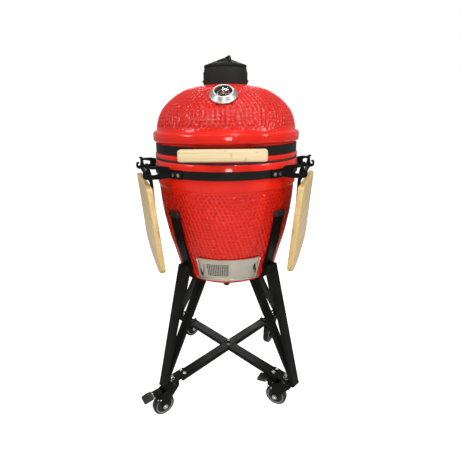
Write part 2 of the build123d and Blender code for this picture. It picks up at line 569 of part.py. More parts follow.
# ---------------------------------------------------------------- side shelves, folded down at rest
for side, sx in (("left", -1), ("right", 1)):
    deg = -90.0 + sx * SHELF_AZ
    PIVOT_N = PIVOTS[side]
    far = PIVOT_N - 262.0
    a = math.radians(deg)
    n = (math.cos(a), math.sin(a), 0)
    u = (-math.sin(a) * -sx, math.cos(a) * -sx, 0)      # along the board, towards the rear
    if u[1] < 0:
        u = (-u[0], -u[1], 0)
    ti = math.radians(TILT)
    down = (-n[0] * math.sin(ti), -n[1] * math.sin(ti), -math.cos(ti))
    face = (n[0] * math.cos(ti), n[1] * math.cos(ti), -math.sin(ti))
    # board plane: local x along u, local y down the board, origin on the back face under the pivot
    org = (PIVOT_N * n[0], PIVOT_N * n[1], Z(PIVOT_Z))
    back = Plane(origin=org, x_dir=u, z_dir=face)
    sgn = 1.0 if back.y_dir.Z < 0 else -1.0
    with BuildPart() as shelf:
        with BuildSketch(back):
            with BuildLine():
                y0, y1 = sgn * 26.0, sgn * (26.0 + BOARD_W)
                c1 = Polyline((-180, sgn * 252), (-158, sgn * 34), (-151, y0), (151, y0), (158, sgn * 34), (180, sgn * 252))
                c2 = Spline((180, sgn * 252), (175, sgn * 273), (150, sgn * 287), (80, sgn * 298), (0, y1), (-80, sgn * 298), (-150, sgn * 287), (-175, sgn * 273), (-180, sgn * 252))
            make_face()
        extrude(amount=18.0)
    write(shelf, f"shelf_{side}")
    with BuildPart() as arms:
        for s in (-1, 1):
            with BuildSketch(back.offset(-3.0)):
                with Locations((s * 92.0, sgn * 64.0)):
                    Rectangle(24.0, 112.0)
            extrude(amount=3.0)
            for w in (80.0, 101.0):
                with BuildSketch(Plane(origin=tuple(org[i] + u[i] * (s * w if s > 0 else -w - 3.0) for i in range(3)), x_dir=down, z_dir=u)) as ear:
                    sg = 1.0 if ear.workplanes[0].y_dir.dot(Vector(*n)) > 0 else -1.0
                    with BuildLine():
                        Polyline(*[(x, sg * y) for x, y in ((-34, -4.5), (-34, 6), (-30.5, 6), (-30, 2.0), (-20, 3.5), (-7, 6.0), (8, 6), (22, 0), (120, 0), (120, -4), (60, -6.5), (24, -8), (6, -8), (-7, -7.0), (-20, -5.0))], close=True)
                    make_face()
                    Circle(8.0)
                    Circle(4.05, mode=Mode.SUBTRACT)
                extrude(amount=3.0)
    write(arms, f"shelf_arms_{side}")
    with BuildPart() as rod:
        with BuildSketch(Plane(origin=tuple(org[i] - u[i] * 118.0 for i in range(3)), z_dir=u)):
            Circle(4.0)
        extrude(amount=236)
    write(rod, f"shelf_rod_{side}")
    with BuildPart() as bracket:
        for s in (-1, 1):
            # curved pad on the base band
            c = deg + s * BRACKET_AZ
            with BuildSketch(radial(c - 8.0)):
                with BuildLine():
                    Polyline((BS, Z(-96)), (BS + 4, Z(-96)), (BS + 4, Z(-71)), (BS, Z(-71)), close=True)
                make_face()
            revolve(axis=Axis.Z, revolution_arc=16)
            # web with an upper bar, a slot and an upturned hook
            w0 = s * WEB_U - 2.0
            with BuildSketch(Plane(origin=(u[0] * w0, u[1] * w0, 0), x_dir=n, z_dir=u)) as web:
                zs = 1.0 if web.workplanes[0].y_dir.Z > 0 else -1.0
                with BuildLine():
                    Polyline(*[(x + (far if x > 243 else 0), zs * Z(z)) for x, z in ((209, -95), (209, -72), (214, -64), (236, -59.5), (256, -59.5), (259.5, -61.5), (259.5, -65.5), (257, -67.5), (245, -68), (241.5, -71), (241.5, -80), (244.5, -83.5),
                                                                  (255, -84), (269, -85), (273.5, -85), (274.5, -82), (273, -79), (270.5, -78.5), (269, -75.5), (271, -72.5), (276, -72), (280, -75.5), (281, -82), (280.5, -90),
                                                                  (277, -94.5), (270, -96.5), (262, -97), (240, -97.5))], close=True)
                make_face()
                with Locations((PIVOT_N, zs * Z(PIVOT_Z))):
                    Circle(8.0)
                    Circle(4.0, mode=Mode.SUBTRACT)
            extrude(amount=4.0)
        with BuildSketch(Plane.XY.offset(Z(-130))):
            Circle(BS)
        extrude(amount=100, mode=Mode.SUBTRACT)
    write(bracket, f"shelf_bracket_{side}")

with BuildPart() as base_band_bolts:
    for sx in (-1, 1):
        for off in (-BRACKET_AZ - 5.6, -BRACKET_AZ - 0.6, BRACKET_AZ + 0.6, BRACKET_AZ + 5.6):
            deg = -90 + sx * SHELF_AZ + off
            with BuildSketch(Plane(origin=p3(deg, BS + 4.0, Z(-84)), z_dir=p3(deg, 1, 0))):
                Circle(5.4)
            extrude(amount=4.5)
    for deg in (76.2, 103.8):
        with BuildSketch(Plane(origin=p3(deg, BS + 4.0, Z(-84)), z_dir=p3(deg, 1, 0))):
            Circle(5.0)
        extrude(amount=4.5)
write(base_band_bolts, "base_band_bolts")

# ---------------------------------------------------------------- casters
with BuildPart() as caster_stems:
    for cx, cy, t in CASTERS.values():
        with BuildSketch(Plane.XY.offset(Z(-813))):
            with Locations((cx, cy)):
                Circle(5.4)
        extrude(amount=32)
        with BuildSketch(Plane.XY.offset(Z(-805.8))):
            with Locations((cx, cy)):
                Circle(20.0)
        extrude(amount=3.3)
        with BuildSketch(Plane.XY.offset(Z(-798.5))):
            with Locations((cx, cy)):
                Circle(11.5)
        extrude(amount=2.0)
        with BuildSketch(Plane.XY.offset(Z(-796.5))):
            with Locations((cx, cy)):
                RegularPolygon(10.0, 6)
        extrude(amount=9.0)
write(caster_stems, "caster_stems")

AX_Z = WHEEL_R - RIM_Z
for key, (cx, cy, t) in CASTERS.items():
    a = math.radians(t)
    f = (math.cos(a), math.sin(a), 0)           # trailing direction
    l = (-math.sin(a), math.cos(a), 0)          # lateral direction

    def side_plane(off):
        # local x = trailing distance from the stem, local y = height
        return Plane(origin=(cx + l[0] * off, cy + l[1] * off, 0), x_dir=f, z_dir=(f[1], -f[0], 0))

    brake = key in ("fl", "fr")
    with BuildPart() as fork:
        with BuildSketch(Plane(origin=(cx, cy, Z(-810)), x_dir=f, z_dir=(0, 0, 1))):
            Circle(24.0)
            with Locations((6, 0)):
                Rectangle(40, 39)
            Circle(5.45, mode=Mode.SUBTRACT)
        extrude(amount=3.8)
        for off in (19.5, -17.0):
            with BuildSketch(side_plane(off)):
                with BuildLine():
                    pts = [(-14, -806.2), (18, -806.2), (27, -819), (47, -856), (47, -880), (44, -891), (36, -895), (28, -892), (22, -884), (2, -842), (-14, -822)]
                    if brake:
                        pts = [(-14, -806.2), (18, -806.2), (27, -819), (54, -829), (67, -834), (67, -845), (58, -850), (48, -862), (47, -880), (44, -891), (36, -895), (28, -892), (22, -884), (2, -842), (-14, -822)]
                    Polyline(*[(x, Z(z)) for x, z in pts], close=True)
                make_face()
                with Locations((TRAIL, AX_Z + RIM_Z)):
                    Circle(4.0, mode=Mode.SUBTRACT)
                if brake:
                    with Locations((60, Z(-839))):
                        Circle(2.55, mode=Mode.SUBTRACT)
            extrude(amount=2.5)
        # axle bolt with its two heads, a separate piece
        with BuildSketch(side_plane(23.5)):
            with Locations((TRAIL, AX_Z + RIM_Z)):
                Circle(4.0)
        extrude(amount=47.0)
        for off in (23.5, -19.5):
            with BuildSketch(side_plane(off)):
                with Locations((TRAIL, AX_Z + RIM_Z)):
                    RegularPolygon(7.5, 6)
            extrude(amount=4.0)
    write(fork, f"caster_fork_{key}")
    with BuildPart() as wheel:
        with BuildSketch(Plane(origin=(cx + f[0] * TRAIL, cy + f[1] * TRAIL, Z(AX_Z)), x_dir=(0, 0, 1), z_dir=f)) as prof:
            wp = prof.workplanes[0]
            sy = 1.0 if wp.y_dir.dot(Vector(*l)) > 0 else -1.0
            with BuildLine():
                Polyline(*[(r, sy * w) for r, w in ((4.05, -15.5), (12, -15.5), (12.5, -11), (30, -10), (33, -12), (36, -11), (37.3, -7), (WHEEL_R, 0),
                                                   (37.3, 7), (36, 11), (33, 12), (30, 10), (12.5, 11), (12, 15.5), (4.05, 15.5))], close=True)
            make_face()
        revolve(axis=Axis((cx + f[0] * TRAIL, cy + f[1] * TRAIL, Z(AX_Z)), l))
    write(wheel, f"caster_wheel_{key}")
    if brake:
        with BuildPart() as pedal:
            with BuildSketch(side_plane(15.5)):
                with BuildLine():
                    Polyline(*[(x, Z(z)) for x, z in ((56, -838), (60, -832), (74, -824), (104, -828), (108, -833), (106, -836), (78, -832), (66, -844), (58, -843))], close=True)
                make_face()
            extrude(amount=31.0)
            with BuildSketch(side_plane(19.4)):
                with Locations((60, Z(-839))):
                    Circle(2.5)
            extrude(amount=38.8)
        write(pedal, f"brake_pedal_{key}")

# ---------------------------------------------------------------- rubber foot under the draft door
with BuildPart() as base_bumper:
    with BuildSketch(Plane.XY.offset(Z(-463))):
        with Locations((-4, -138)):
            RectangleRounded(22, 16, 4)
    extrude(amount=9.4)
write(base_bumper, "base_bumper")
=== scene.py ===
import bpy, bmesh, math, random
import numpy as np
from mathutils import Matrix, Vector


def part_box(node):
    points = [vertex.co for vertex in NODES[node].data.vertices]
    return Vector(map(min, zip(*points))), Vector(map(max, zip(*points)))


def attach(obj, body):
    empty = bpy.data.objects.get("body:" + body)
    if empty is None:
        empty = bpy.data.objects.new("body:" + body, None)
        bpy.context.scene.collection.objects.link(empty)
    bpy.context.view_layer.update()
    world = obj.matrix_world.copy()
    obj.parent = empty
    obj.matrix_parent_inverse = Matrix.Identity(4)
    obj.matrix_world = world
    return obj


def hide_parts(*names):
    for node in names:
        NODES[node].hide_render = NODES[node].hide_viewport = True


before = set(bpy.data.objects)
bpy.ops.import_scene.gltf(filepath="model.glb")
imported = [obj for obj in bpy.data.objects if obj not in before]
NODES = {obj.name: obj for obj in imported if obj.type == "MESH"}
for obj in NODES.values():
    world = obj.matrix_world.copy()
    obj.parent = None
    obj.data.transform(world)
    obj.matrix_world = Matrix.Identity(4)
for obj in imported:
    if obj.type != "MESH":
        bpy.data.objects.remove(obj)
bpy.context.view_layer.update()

rng = np.random.default_rng(7)
MM = 0.001
RIM = 920.0


def Z(h):
    return RIM + h


YAW = math.radians(-2.0)


def spin(x, y, z=0.0):
    c, s_ = math.cos(YAW), math.sin(YAW)
    return (x * c - y * s_, x * s_ + y * c, z)


# ------------------------------------------------------------------ mesh helpers
def new_obj(name, verts, faces, mat, body, smooth=40.0, replaces=()):
    me = bpy.data.meshes.new(name)
    me.from_pydata([tuple(v) for v in verts], [], faces)
    me.update()
    bm = bmesh.new()
    bm.from_mesh(me)
    bmesh.ops.recalc_face_normals(bm, faces=bm.faces)
    bm.to_mesh(me)
    bm.free()
    me.polygons.foreach_set("use_smooth", [True] * len(me.polygons))
    if smooth is not None:
        me.set_sharp_from_angle(angle=math.radians(smooth))
    ob = bpy.data.objects.new(name, me)
    bpy.context.scene.collection.objects.link(ob)
    if mat is not None:
        for m in (mat if isinstance(mat, (list, tuple)) else [mat]):
            me.materials.append(m)
    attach(ob, body)
    if replaces:
        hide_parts(*replaces)
    return ob


def frame_axes(axis):
    a = Vector(axis).normalized()
    h = Vector((0, 0, 1)) if abs(a.z) < 0.9 else Vector((1, 0, 0))
    x = h.cross(a).normalized()
    y = a.cross(x).normalized()
    return x, y, a


def lathe(profile, origin=(0, 0, 0), axis=(0, 0, 1), seg=96, start=0.0, arc=None, closed=True):
    """Turns a closed outline of (radius, height) in mm about an axis; arc in radians gives a closed sector."""
    x, y, a = frame_axes(axis)
    o = Vector(origin)
    full = arc is None
    n = seg if full else seg + 1
    verts, faces = [], []
    P = len(profile)
    pole = {}
    for j, (r, h) in enumerate(profile):
        if r < 1e-6:
            pole[j] = len(verts)
            verts.append((o + a * h) * MM)
        else:
            pole[j] = None
    idx = [[None] * n for _ in range(P)]
    for j, (r, h) in enumerate(profile):
        for i in range(n):
            if pole[j] is not None:
                idx[j][i] = pole[j]
            else:
                t = start + (2 * math.pi * i / seg if full else arc * i / seg)
                idx[j][i] = len(verts)
                verts.append((o + x * (r * math.cos(t)) + y * (r * math.sin(t)) + a * h) * MM)
    for j in range(P if closed else P - 1):
        k = (j + 1) % P
        for i in range(seg):
            i2 = (i + 1) % n if full else i + 1
            q = [idx[j][i], idx[j][i2], idx[k][i2], idx[k][i]]
            u = list(dict.fromkeys(q))
            if len(u) >= 3:
                faces.append(u)
    if not full:
        faces.append([idx[j][0] for j in range(P)][::-1])
        faces.append([idx[j][n - 1] for j in range(P)])
    return verts, faces


def rounded(points, radius, steps=5):
    """Rounds the corners of a closed 2-D outline; radius may be one number or one per corner."""
    out = []
    n = len(points)
    for i in range(n):
        p0, p1, p2 = Vector(points[i - 1]), Vector(points[i]), Vector(points[(i + 1) % n])
        r = radius[i] if isinstance(radius, (list, tuple)) else radius
        a, b = (p0 - p1), (p2 - p1)
        la, lb = a.length, b.length
        if r <= 0 or la < 1e-9 or lb < 1e-9:
            out.append(tuple(p1))
            continue
        a.normalize(); b.normalize()
        ang = max(-1.0, min(1.0, a.dot(b)))
        half = math.acos(ang) / 2
        if half > math.radians(88):
            out.append(tuple(p1))
            continue
        d = min(r / math.tan(half), 0.48 * la, 0.48 * lb)
        s, e = p1 + a * d, p1 + b * d
        for k in range(steps + 1):
            t = k / steps
            out.append(tuple((1 - t) ** 2 * s + 2 * t * (1 - t) * p1 + t * t * e))
    return out


def prism(outline, plane_o, ux, uy, depth, bevel=1.0, steps=3, centre=True):
    """Extrudes a closed outline (mm, in the plane's ux and uy) along ux x uy, with rounded edges on both faces."""
    ux, uy = Vector(ux).normalized(), Vector(uy).normalized()
    uz = ux.cross(uy)
    pts = np.array(outline, float)
    n = len(pts)
    area = 0.5 * sum(pts[i][0] * pts[(i + 1) % n][1] - pts[(i + 1) % n][0] * pts[i][1] for i in range(n))
    if area < 0:
        pts = pts[::-1]
    nx = np.roll(pts, -1, 0) - np.roll(pts, 1, 0)
    nrm = np.stack([nx[:, 1], -nx[:, 0]], 1)
    nrm /= np.maximum(np.linalg.norm(nrm, axis=1, keepdims=True), 1e-9)
    z0 = -depth / 2 if centre else 0.0
    rings = []
    for k in range(steps + 1):
        t = math.pi / 2 * k / steps
        rings.append((bevel * (1 - math.sin(t)), z0 + bevel * (1 - math.cos(t))))
    rings += [(a, 2 * z0 + depth - b) for a, b in reversed(rings)]
    verts, faces = [], []
    o = Vector(plane_o)
    for inset, h in rings:
        for p, q in zip(pts, nrm):
            c = p - q * inset
            verts.append((o + ux * float(c[0]) + uy * float(c[1]) + uz * float(h)) * MM)
    for j in range(len(rings) - 1):
        for i in range(n):
            i2 = (i + 1) % n
            faces.append([j * n + i, j * n + i2, (j + 1) * n + i2, (j + 1) * n + i])
    faces.append(list(range(n))[::-1])
    faces.append([(len(rings) - 1) * n + i for i in range(n)])
    return verts, faces


def merge(*parts):
    verts, faces = [], []
    for v, f in parts:
        k = len(verts)
        verts += list(v)
        faces += [[i + k for i in q] for q in f]
    return verts, faces


# ------------------------------------------------------------------ materials
def mat_new(name):
    m = bpy.data.materials.new(name)
    m.use_nodes = True
    nt = m.node_tree
    nt.nodes.clear()
    out = nt.nodes.new("ShaderNodeOutputMaterial")
    b = nt.nodes.new("ShaderNodeBsdfPrincipled")
    nt.links.new(b.outputs["BSDF"], out.inputs["Surface"])
    return m, nt, b


def node(nt, kind, **kw):
    n = nt.nodes.new(kind)
    for k, v in kw.items():
        if k in n.inputs.keys():
            n.inputs[k].default_value = v
        else:
            setattr(n, k, v)
    return n


def coords(nt, scale=(1, 1, 1), kind="Object"):
    t = nt.nodes.new("ShaderNodeTexCoord")
    mp = nt.nodes.new("ShaderNodeMapping")
    mp.inputs["Scale"].default_value = scale
    nt.links.new(t.outputs[kind], mp.inputs["Vector"])
    return mp.outputs["Vector"]


def noise(nt, vec, scale, detail=3.0, rough=0.55):
    n = nt.nodes.new("ShaderNodeTexNoise")
    n.inputs["Scale"].default_value = scale
    n.inputs["Detail"].default_value = detail
    n.inputs["Roughness"].default_value = rough
    if vec is not None:
        nt.links.new(vec, n.inputs["Vector"])
    return n.outputs["Fac"]


def remap(nt, val, a, b, c, d):
    n = nt.nodes.new("ShaderNodeMapRange")
    for k, v in zip(("From Min", "From Max", "To Min", "To Max"), (a, b, c, d)):
        n.inputs[k].default_value = v
    nt.links.new(val, n.inputs["Value"])
    return n.outputs["Result"]


def mix(nt, fac, c1, c2, blend="MIX"):
    n = nt.nodes.new("ShaderNodeMix")
    n.data_type = "RGBA"
    n.blend_type = blend
    for sock, c in ((n.inputs[6], c1), (n.inputs[7], c2)):
        if isinstance(c, (tuple, list)):
            sock.default_value = (*c[:3], 1.0)
        else:
            nt.links.new(c, sock)
    if isinstance(fac, (int, float)):
        n.inputs[0].default_value = fac
    else:
        nt.links.new(fac, n.inputs[0])
    return n.outputs[2]


def bump(nt, b, height, strength, dist):
    n = nt.nodes.new("ShaderNodeBump")
    n.inputs["Strength"].default_value = strength
    n.inputs["Distance"].default_value = dist
    nt.links.new(height, n.inputs["Height"])
    nt.links.new(n.outputs["Normal"], b.inputs["Normal"])
    return n


# well_shade: how dark the painted shade at the bottom of each dimple gets, as a share of deep
def m_glaze(name="red_glaze", tint=(0.80, 0.019, 0.008), deep=(0.64, 0.011, 0.005), dimples=True, inside=(0.028, 0.025, 0.022), well_shade=0.8, window=False):
    m, nt, b = mat_new(name)
    v = coords(nt)
    big = noise(nt, v, 9.0, 4.0)
    fine = noise(nt, v, 420.0, 3.0)
    col = mix(nt, remap(nt, big, 0.35, 0.7, 0.0, 0.5), tint, deep)
    if dimples:
        at = nt.nodes.new("ShaderNodeAttribute"); at.attribute_name = "skin"
        sk = nt.nodes.new("ShaderNodeSeparateXYZ")
        nt.links.new(at.outputs["Vector"], sk.inputs[0])
        # painted shade darkens each dimple by its depth; the inside of the shell is unglazed sooty clay, on the base
        # darkened further as painted shade
        col = mix(nt, remap(nt, sk.outputs["X"], 0.1, 1.0, 0.0, 0.85), col, tuple(x * well_shade for x in deep))
        inside_and_jambs = sk.outputs["Y"]
        if window:
            # the cut faces round the draft window take the dark inside colour too, as painted shade for the opening
            px = nt.nodes.new("ShaderNodeSeparateXYZ")
            nt.links.new(v, px.inputs[0])

            def op(kind, p, q=0.0):
                m_ = nt.nodes.new("ShaderNodeMath"); m_.operation = kind
                for k_, val in enumerate((p, q)):
                    if isinstance(val, (int, float)):
                        m_.inputs[k_].default_value = val
                    else:
                        nt.links.new(val, m_.inputs[k_])
                return m_.outputs[0]
            near_a = op("LESS_THAN", op("ABSOLUTE", op("ADD", op("ARCTAN2", px.outputs["Y"], px.outputs["X"]), math.radians(100.0))), math.radians(12.35))
            near_z = op("LESS_THAN", op("ABSOLUTE", op("SUBTRACT", px.outputs["Z"], 0.5275)), 0.0246)
            inside_and_jambs = op("MAXIMUM", inside_and_jambs, op("MULTIPLY", near_a, near_z))
        # inside faces and window jambs take the inside colour: sooty clay, on the base darkened further as painted
        # shade seen through the draft holes
        col = mix(nt, inside_and_jambs, col, inside)
        nt.links.new(remap(nt, sk.outputs["Y"], 0.0, 1.0, 0.42, 0.0), b.inputs["Coat Weight"])
        base_r = remap(nt, fine, 0.3, 0.7, 0.14, 0.24)
        rr = nt.nodes.new("ShaderNodeMath"); rr.operation = "MAXIMUM"
        nt.links.new(base_r, rr.inputs[0]); nt.links.new(remap(nt, sk.outputs["Y"], 0.0, 1.0, 0.0, 0.85), rr.inputs[1])
        nt.links.new(rr.outputs[0], b.inputs["Roughness"])
    else:
        nt.links.new(remap(nt, fine, 0.3, 0.7, 0.14, 0.24), b.inputs["Roughness"])
        b.inputs["Coat Weight"].default_value = 0.42
    nt.links.new(col, b.inputs["Base Color"])
    b.inputs["Specular IOR Level"].default_value = 0.12
    b.inputs["Coat Roughness"].default_value = 0.06
    b.inputs["IOR"].default_value = 1.5
    bump(nt, b, noise(nt, v, 160.0, 2.0), 0.10, 0.0012)
    return m


def m_paint(name, col=(0.012, 0.012, 0.011), rough=(0.36, 0.5), grain=1400.0, strength=0.18, edge=(0.05, 0.05, 0.05), spec=0.07):
    m, nt, b = mat_new(name)
    v = coords(nt)
    big = noise(nt, v, 14.0, 4.0)
    fine = noise(nt, v, grain, 2.0)
    c = mix(nt, remap(nt, big, 0.3, 0.7, 0.0, 0.6), col, tuple(min(1.0, x * 1.7 + 0.002) for x in col))
    geo = nt.nodes.new("ShaderNodeNewGeometry")
    wear = nt.nodes.new("ShaderNodeMath"); wear.operation = "MULTIPLY"
    nt.links.new(remap(nt, geo.outputs["Pointiness"], 0.53, 0.62, 0.0, 1.0), wear.inputs[0])
    nt.links.new(remap(nt, noise(nt, v, 60.0, 4.0), 0.4, 0.65, 0.0, 0.8), wear.inputs[1])
    c = mix(nt, wear.outputs[0], c, edge)
    nt.links.new(c, b.inputs["Base Color"])
    b.inputs["Specular IOR Level"].default_value = spec
    nt.links.new(remap(nt, big, 0.3, 0.7, *rough), b.inputs["Roughness"])
    bump(nt, b, fine, strength, 0.0004)
    return m


def m_metal(name, col=(0.72, 0.70, 0.66), rough=(0.2, 0.34), scale=(1, 1, 1), grain=500.0, aniso=0.0, strength=0.05):
    m, nt, b = mat_new(name)
    v = coords(nt)
    vs = coords(nt, scale)
    g = noise(nt, vs, grain, 3.0)
    big = noise(nt, v, 22.0, 4.0)
    c = mix(nt, remap(nt, big, 0.3, 0.7, 0.0, 1.0), col, tuple(x * 0.86 for x in col))
    c = mix(nt, remap(nt, g, 0.35, 0.65, 0.0, 0.35), c, tuple(x * 0.7 for x in col))
    nt.links.new(c, b.inputs["Base Color"])
    b.inputs["Metallic"].default_value = 1.0
    nt.links.new(remap(nt, g, 0.3, 0.7, *rough), b.inputs["Roughness"])
    b.inputs["Anisotropic"].default_value = aniso
    bump(nt, b, g, strength, 0.0003)
    return m


def m_bamboo(name, light=(0.71, 0.50, 0.215), dark=(0.60, 0.40, 0.155), strip=0.021):
    m, nt, b = mat_new(name)
    at = nt.nodes.new("ShaderNodeAttribute"); at.attribute_name = "loc"
    sep = nt.nodes.new("ShaderNodeSeparateXYZ")
    nt.links.new(at.outputs["Vector"], sep.inputs[0])

    def math_(op, a, bb=None):
        n = nt.nodes.new("ShaderNodeMath"); n.operation = op
        for i, x in enumerate((a, bb)):
            if x is None:
                continue
            if isinstance(x, (int, float)):
                n.inputs[i].default_value = x
            else:
                nt.links.new(x, n.inputs[i])
        return n.outputs[0]
    row = math_("FLOOR", math_("DIVIDE", sep.outputs["Y"], strip))
    lay = math_("FLOOR", math_("DIVIDE", sep.outputs["Z"], 0.0075))
    idx = math_("ADD", row, math_("MULTIPLY", lay, 17.3))
    w = nt.nodes.new("ShaderNodeTexWhiteNoise"); w.noise_dimensions = "1D"
    nt.links.new(idx, w.inputs["W"])
    tone = w.outputs["Value"]
    # fibres along the strip
    cv = nt.nodes.new("ShaderNodeCombineXYZ")
    nt.links.new(math_("MULTIPLY", sep.outputs["X"], 9.0), cv.inputs[0])
    nt.links.new(math_("MULTIPLY", sep.outputs["Y"], 420.0), cv.inputs[1])
    nt.links.new(math_("MULTIPLY", sep.outputs["Z"], 420.0), cv.inputs[2])
    fib = noise(nt, cv.outputs[0], 1.0, 4.0)
    # knuckles: a darker band across each strip, staggered from strip to strip
    ph = math_("ADD", math_("DIVIDE", sep.outputs["X"], 0.23), math_("MULTIPLY", tone, 7.31))
    fr = math_("ABSOLUTE", math_("SUBTRACT", math_("FRACT", ph), 0.5))
    kn = remap(nt, fr, 0.0, 0.018, 1.0, 0.0)
    # glue line between strips
    fy = math_("ABSOLUTE", math_("SUBTRACT", math_("FRACT", math_("DIVIDE", sep.outputs["Y"], strip)), 0.5))
    line = remap(nt, fy, 0.47, 0.5, 0.0, 1.0)
    c = mix(nt, tone, light, dark)
    c = mix(nt, remap(nt, fib, 0.4, 0.75, 0.0, 0.5), c, tuple(x * 0.62 for x in dark))
    c = mix(nt, math_("MULTIPLY", kn, 0.55), c, tuple(x * 0.45 for x in dark))
    c = mix(nt, math_("MULTIPLY", line, 0.35), c, tuple(x * 0.5 for x in dark))
    nt.links.new(c, b.inputs["Base Color"])
    nt.links.new(remap(nt, fib, 0.3, 0.7, 0.34, 0.5), b.inputs["Roughness"])
    b.inputs["Coat Weight"].default_value = 0.15
    b.inputs["Coat Roughness"].default_value = 0.3
    bump(nt, b, math_("SUBTRACT", fib, math_("MULTIPLY", line, 0.6)), 0.12, 0.0006)
    return m


def m_simple(name, col, rough=0.5, metallic=0.0, grain=600.0, strength=0.1, var=0.25, coat=0.0):
    m, nt, b = mat_new(name)
    v = coords(nt)
    n1 = noise(nt, v, 30.0, 4.0)
    c = mix(nt, remap(nt, n1, 0.3, 0.7, 0.0, 1.0), col, tuple(x * (1 - var) for x in col))
    nt.links.new(c, b.inputs["Base Color"])
    nt.links.new(remap(nt, n1, 0.3, 0.7, rough * 0.85, min(1.0, rough * 1.15)), b.inputs["Roughness"])
    b.inputs["Metallic"].default_value = metallic
    b.inputs["Coat Weight"].default_value = coat
    bump(nt, b, noise(nt, v, grain, 3.0), strength, 0.0005)
    return m


# the base keeps the near-black default inside colour: sooty clay darkened further as painted shade
GLAZE = m_glaze(window=True)
GLAZE_LID = m_glaze("red_glaze_lid", (0.69, 0.0165, 0.009), (0.54, 0.010, 0.006), inside=(0.11, 0.095, 0.08), well_shade=0.6)
GLAZE_SMOOTH = m_glaze("red_glaze_smooth", dimples=False)
BLACK = m_paint("black_powder_coat", (0.0045, 0.0046, 0.0042), (0.34, 0.48), 1400.0, 0.18, (0.03, 0.03, 0.03))
BAND = m_paint("black_band_steel", (0.0085, 0.0092, 0.0082), (0.3, 0.42), 1100.0, 0.12)
CAP = m_paint("dark_iron_cap", (0.0125, 0.0123, 0.011), (0.5, 0.66), 620.0, 0.35, (0.03, 0.03, 0.027), 0.10)
IRON = m_simple("bare_cast_iron", (0.045, 0.043, 0.04), 0.6, 0.3, 500.0, 0.4)
STEEL = m_metal("brushed_steel_bezel", (0.66, 0.64, 0.60), (0.30, 0.44), (1, 1, 1), 900.0)
DOOR = m_metal("brushed_steel_door", (0.70, 0.645, 0.54), (0.36, 0.5), (1, 1, 40), 60.0, 0.3)
BOLT = m_metal("bright_zinc_bolt", (0.80, 0.80, 0.78), (0.14, 0.26), (1, 1, 1), 700.0)
GRATE = m_metal("steel_grate_wire", (0.62, 0.61, 0.58), (0.25, 0.4), (1, 1, 1), 300.0)
REFR = m_simple("refractory_ceramic", (0.40, 0.34, 0.26), 0.85, 0.0, 300.0, 0.4)
RUBBER = m_simple("black_rubber", (0.016, 0.016, 0.016), 0.62, 0.0, 900.0, 0.2)
TYRE = m_simple("caster_tyre", (0.009, 0.009, 0.0095), 0.55, 0.0, 700.0, 0.15)
HUB = m_simple("grey_hub_ring", (0.30, 0.30, 0.30), 0.4, 0.0, 700.0, 0.1)
PEDAL = m_simple("brake_pedal_plastic", (0.009, 0.009, 0.0095), 0.5, 0.0, 900.0, 0.15)
FELT = m_simple("gasket_felt", (0.018, 0.017, 0.016), 0.95, 0.0, 1500.0, 0.8)
BAMBOO = m_bamboo("bamboo_shelf")
BAMBOO_H = m_bamboo("bamboo_handle", (0.76, 0.60, 0.345), (0.69, 0.525, 0.285), 0.011)

# ------------------------------------------------------------------ profiles of the ceramics
def dome(z, r0=224.3, z0=-10.0, h=204.33):
    return r0 * max(0.0, 1 - ((z - z0) / h) ** 3.33) ** (1 / 1.084)


BODY_Z = [-97, -108, -120, -128, -131.5, -134.0, -137.0, -143, -172, -203, -234, -265, -296, -327, -358, -389, -420, -432, -443, -450.5, -453.0]
BODY_R = [231.5, 231.2, 230.4, 229.4, 228.0, 225.2, 225.0, 225.4, 223.9, 221.1, 217.4, 211.6, 206.0, 198.8, 190.3, 182.3, 174.6, 170.7, 164.0, 152.0, 138.0]


def catmull(zs, rs, step):
    """Even samples along a smooth curve through the given points."""
    P = np.array(list(zip(rs, zs)), float)
    P = np.vstack([2 * P[0] - P[1], P, 2 * P[-1] - P[-2]])
    out = []
    for i in range(1, len(P) - 2):
        p0, p1, p2, p3 = P[i - 1:i + 3]
        n = max(2, int(np.linalg.norm(p2 - p1) / 0.5))
        for k in range(n):
            t = k / n
            out.append(0.5 * ((2 * p1) + (-p0 + p2) * t + (2 * p0 - 5 * p1 + 4 * p2 - p3) * t * t + (-p0 + 3 * p1 - 3 * p2 + p3) * t ** 3))
    out.append(P[-2])
    out = np.array(out)
    d = np.r_[0, np.cumsum(np.linalg.norm(np.diff(out, axis=0), axis=1))]
    m = max(2, int(round(d[-1] / step)))
    s = np.linspace(0, d[-1], m + 1)
    return np.stack([np.interp(s, d, out[:, 0]), np.interp(s, d, out[:, 1])], 1)


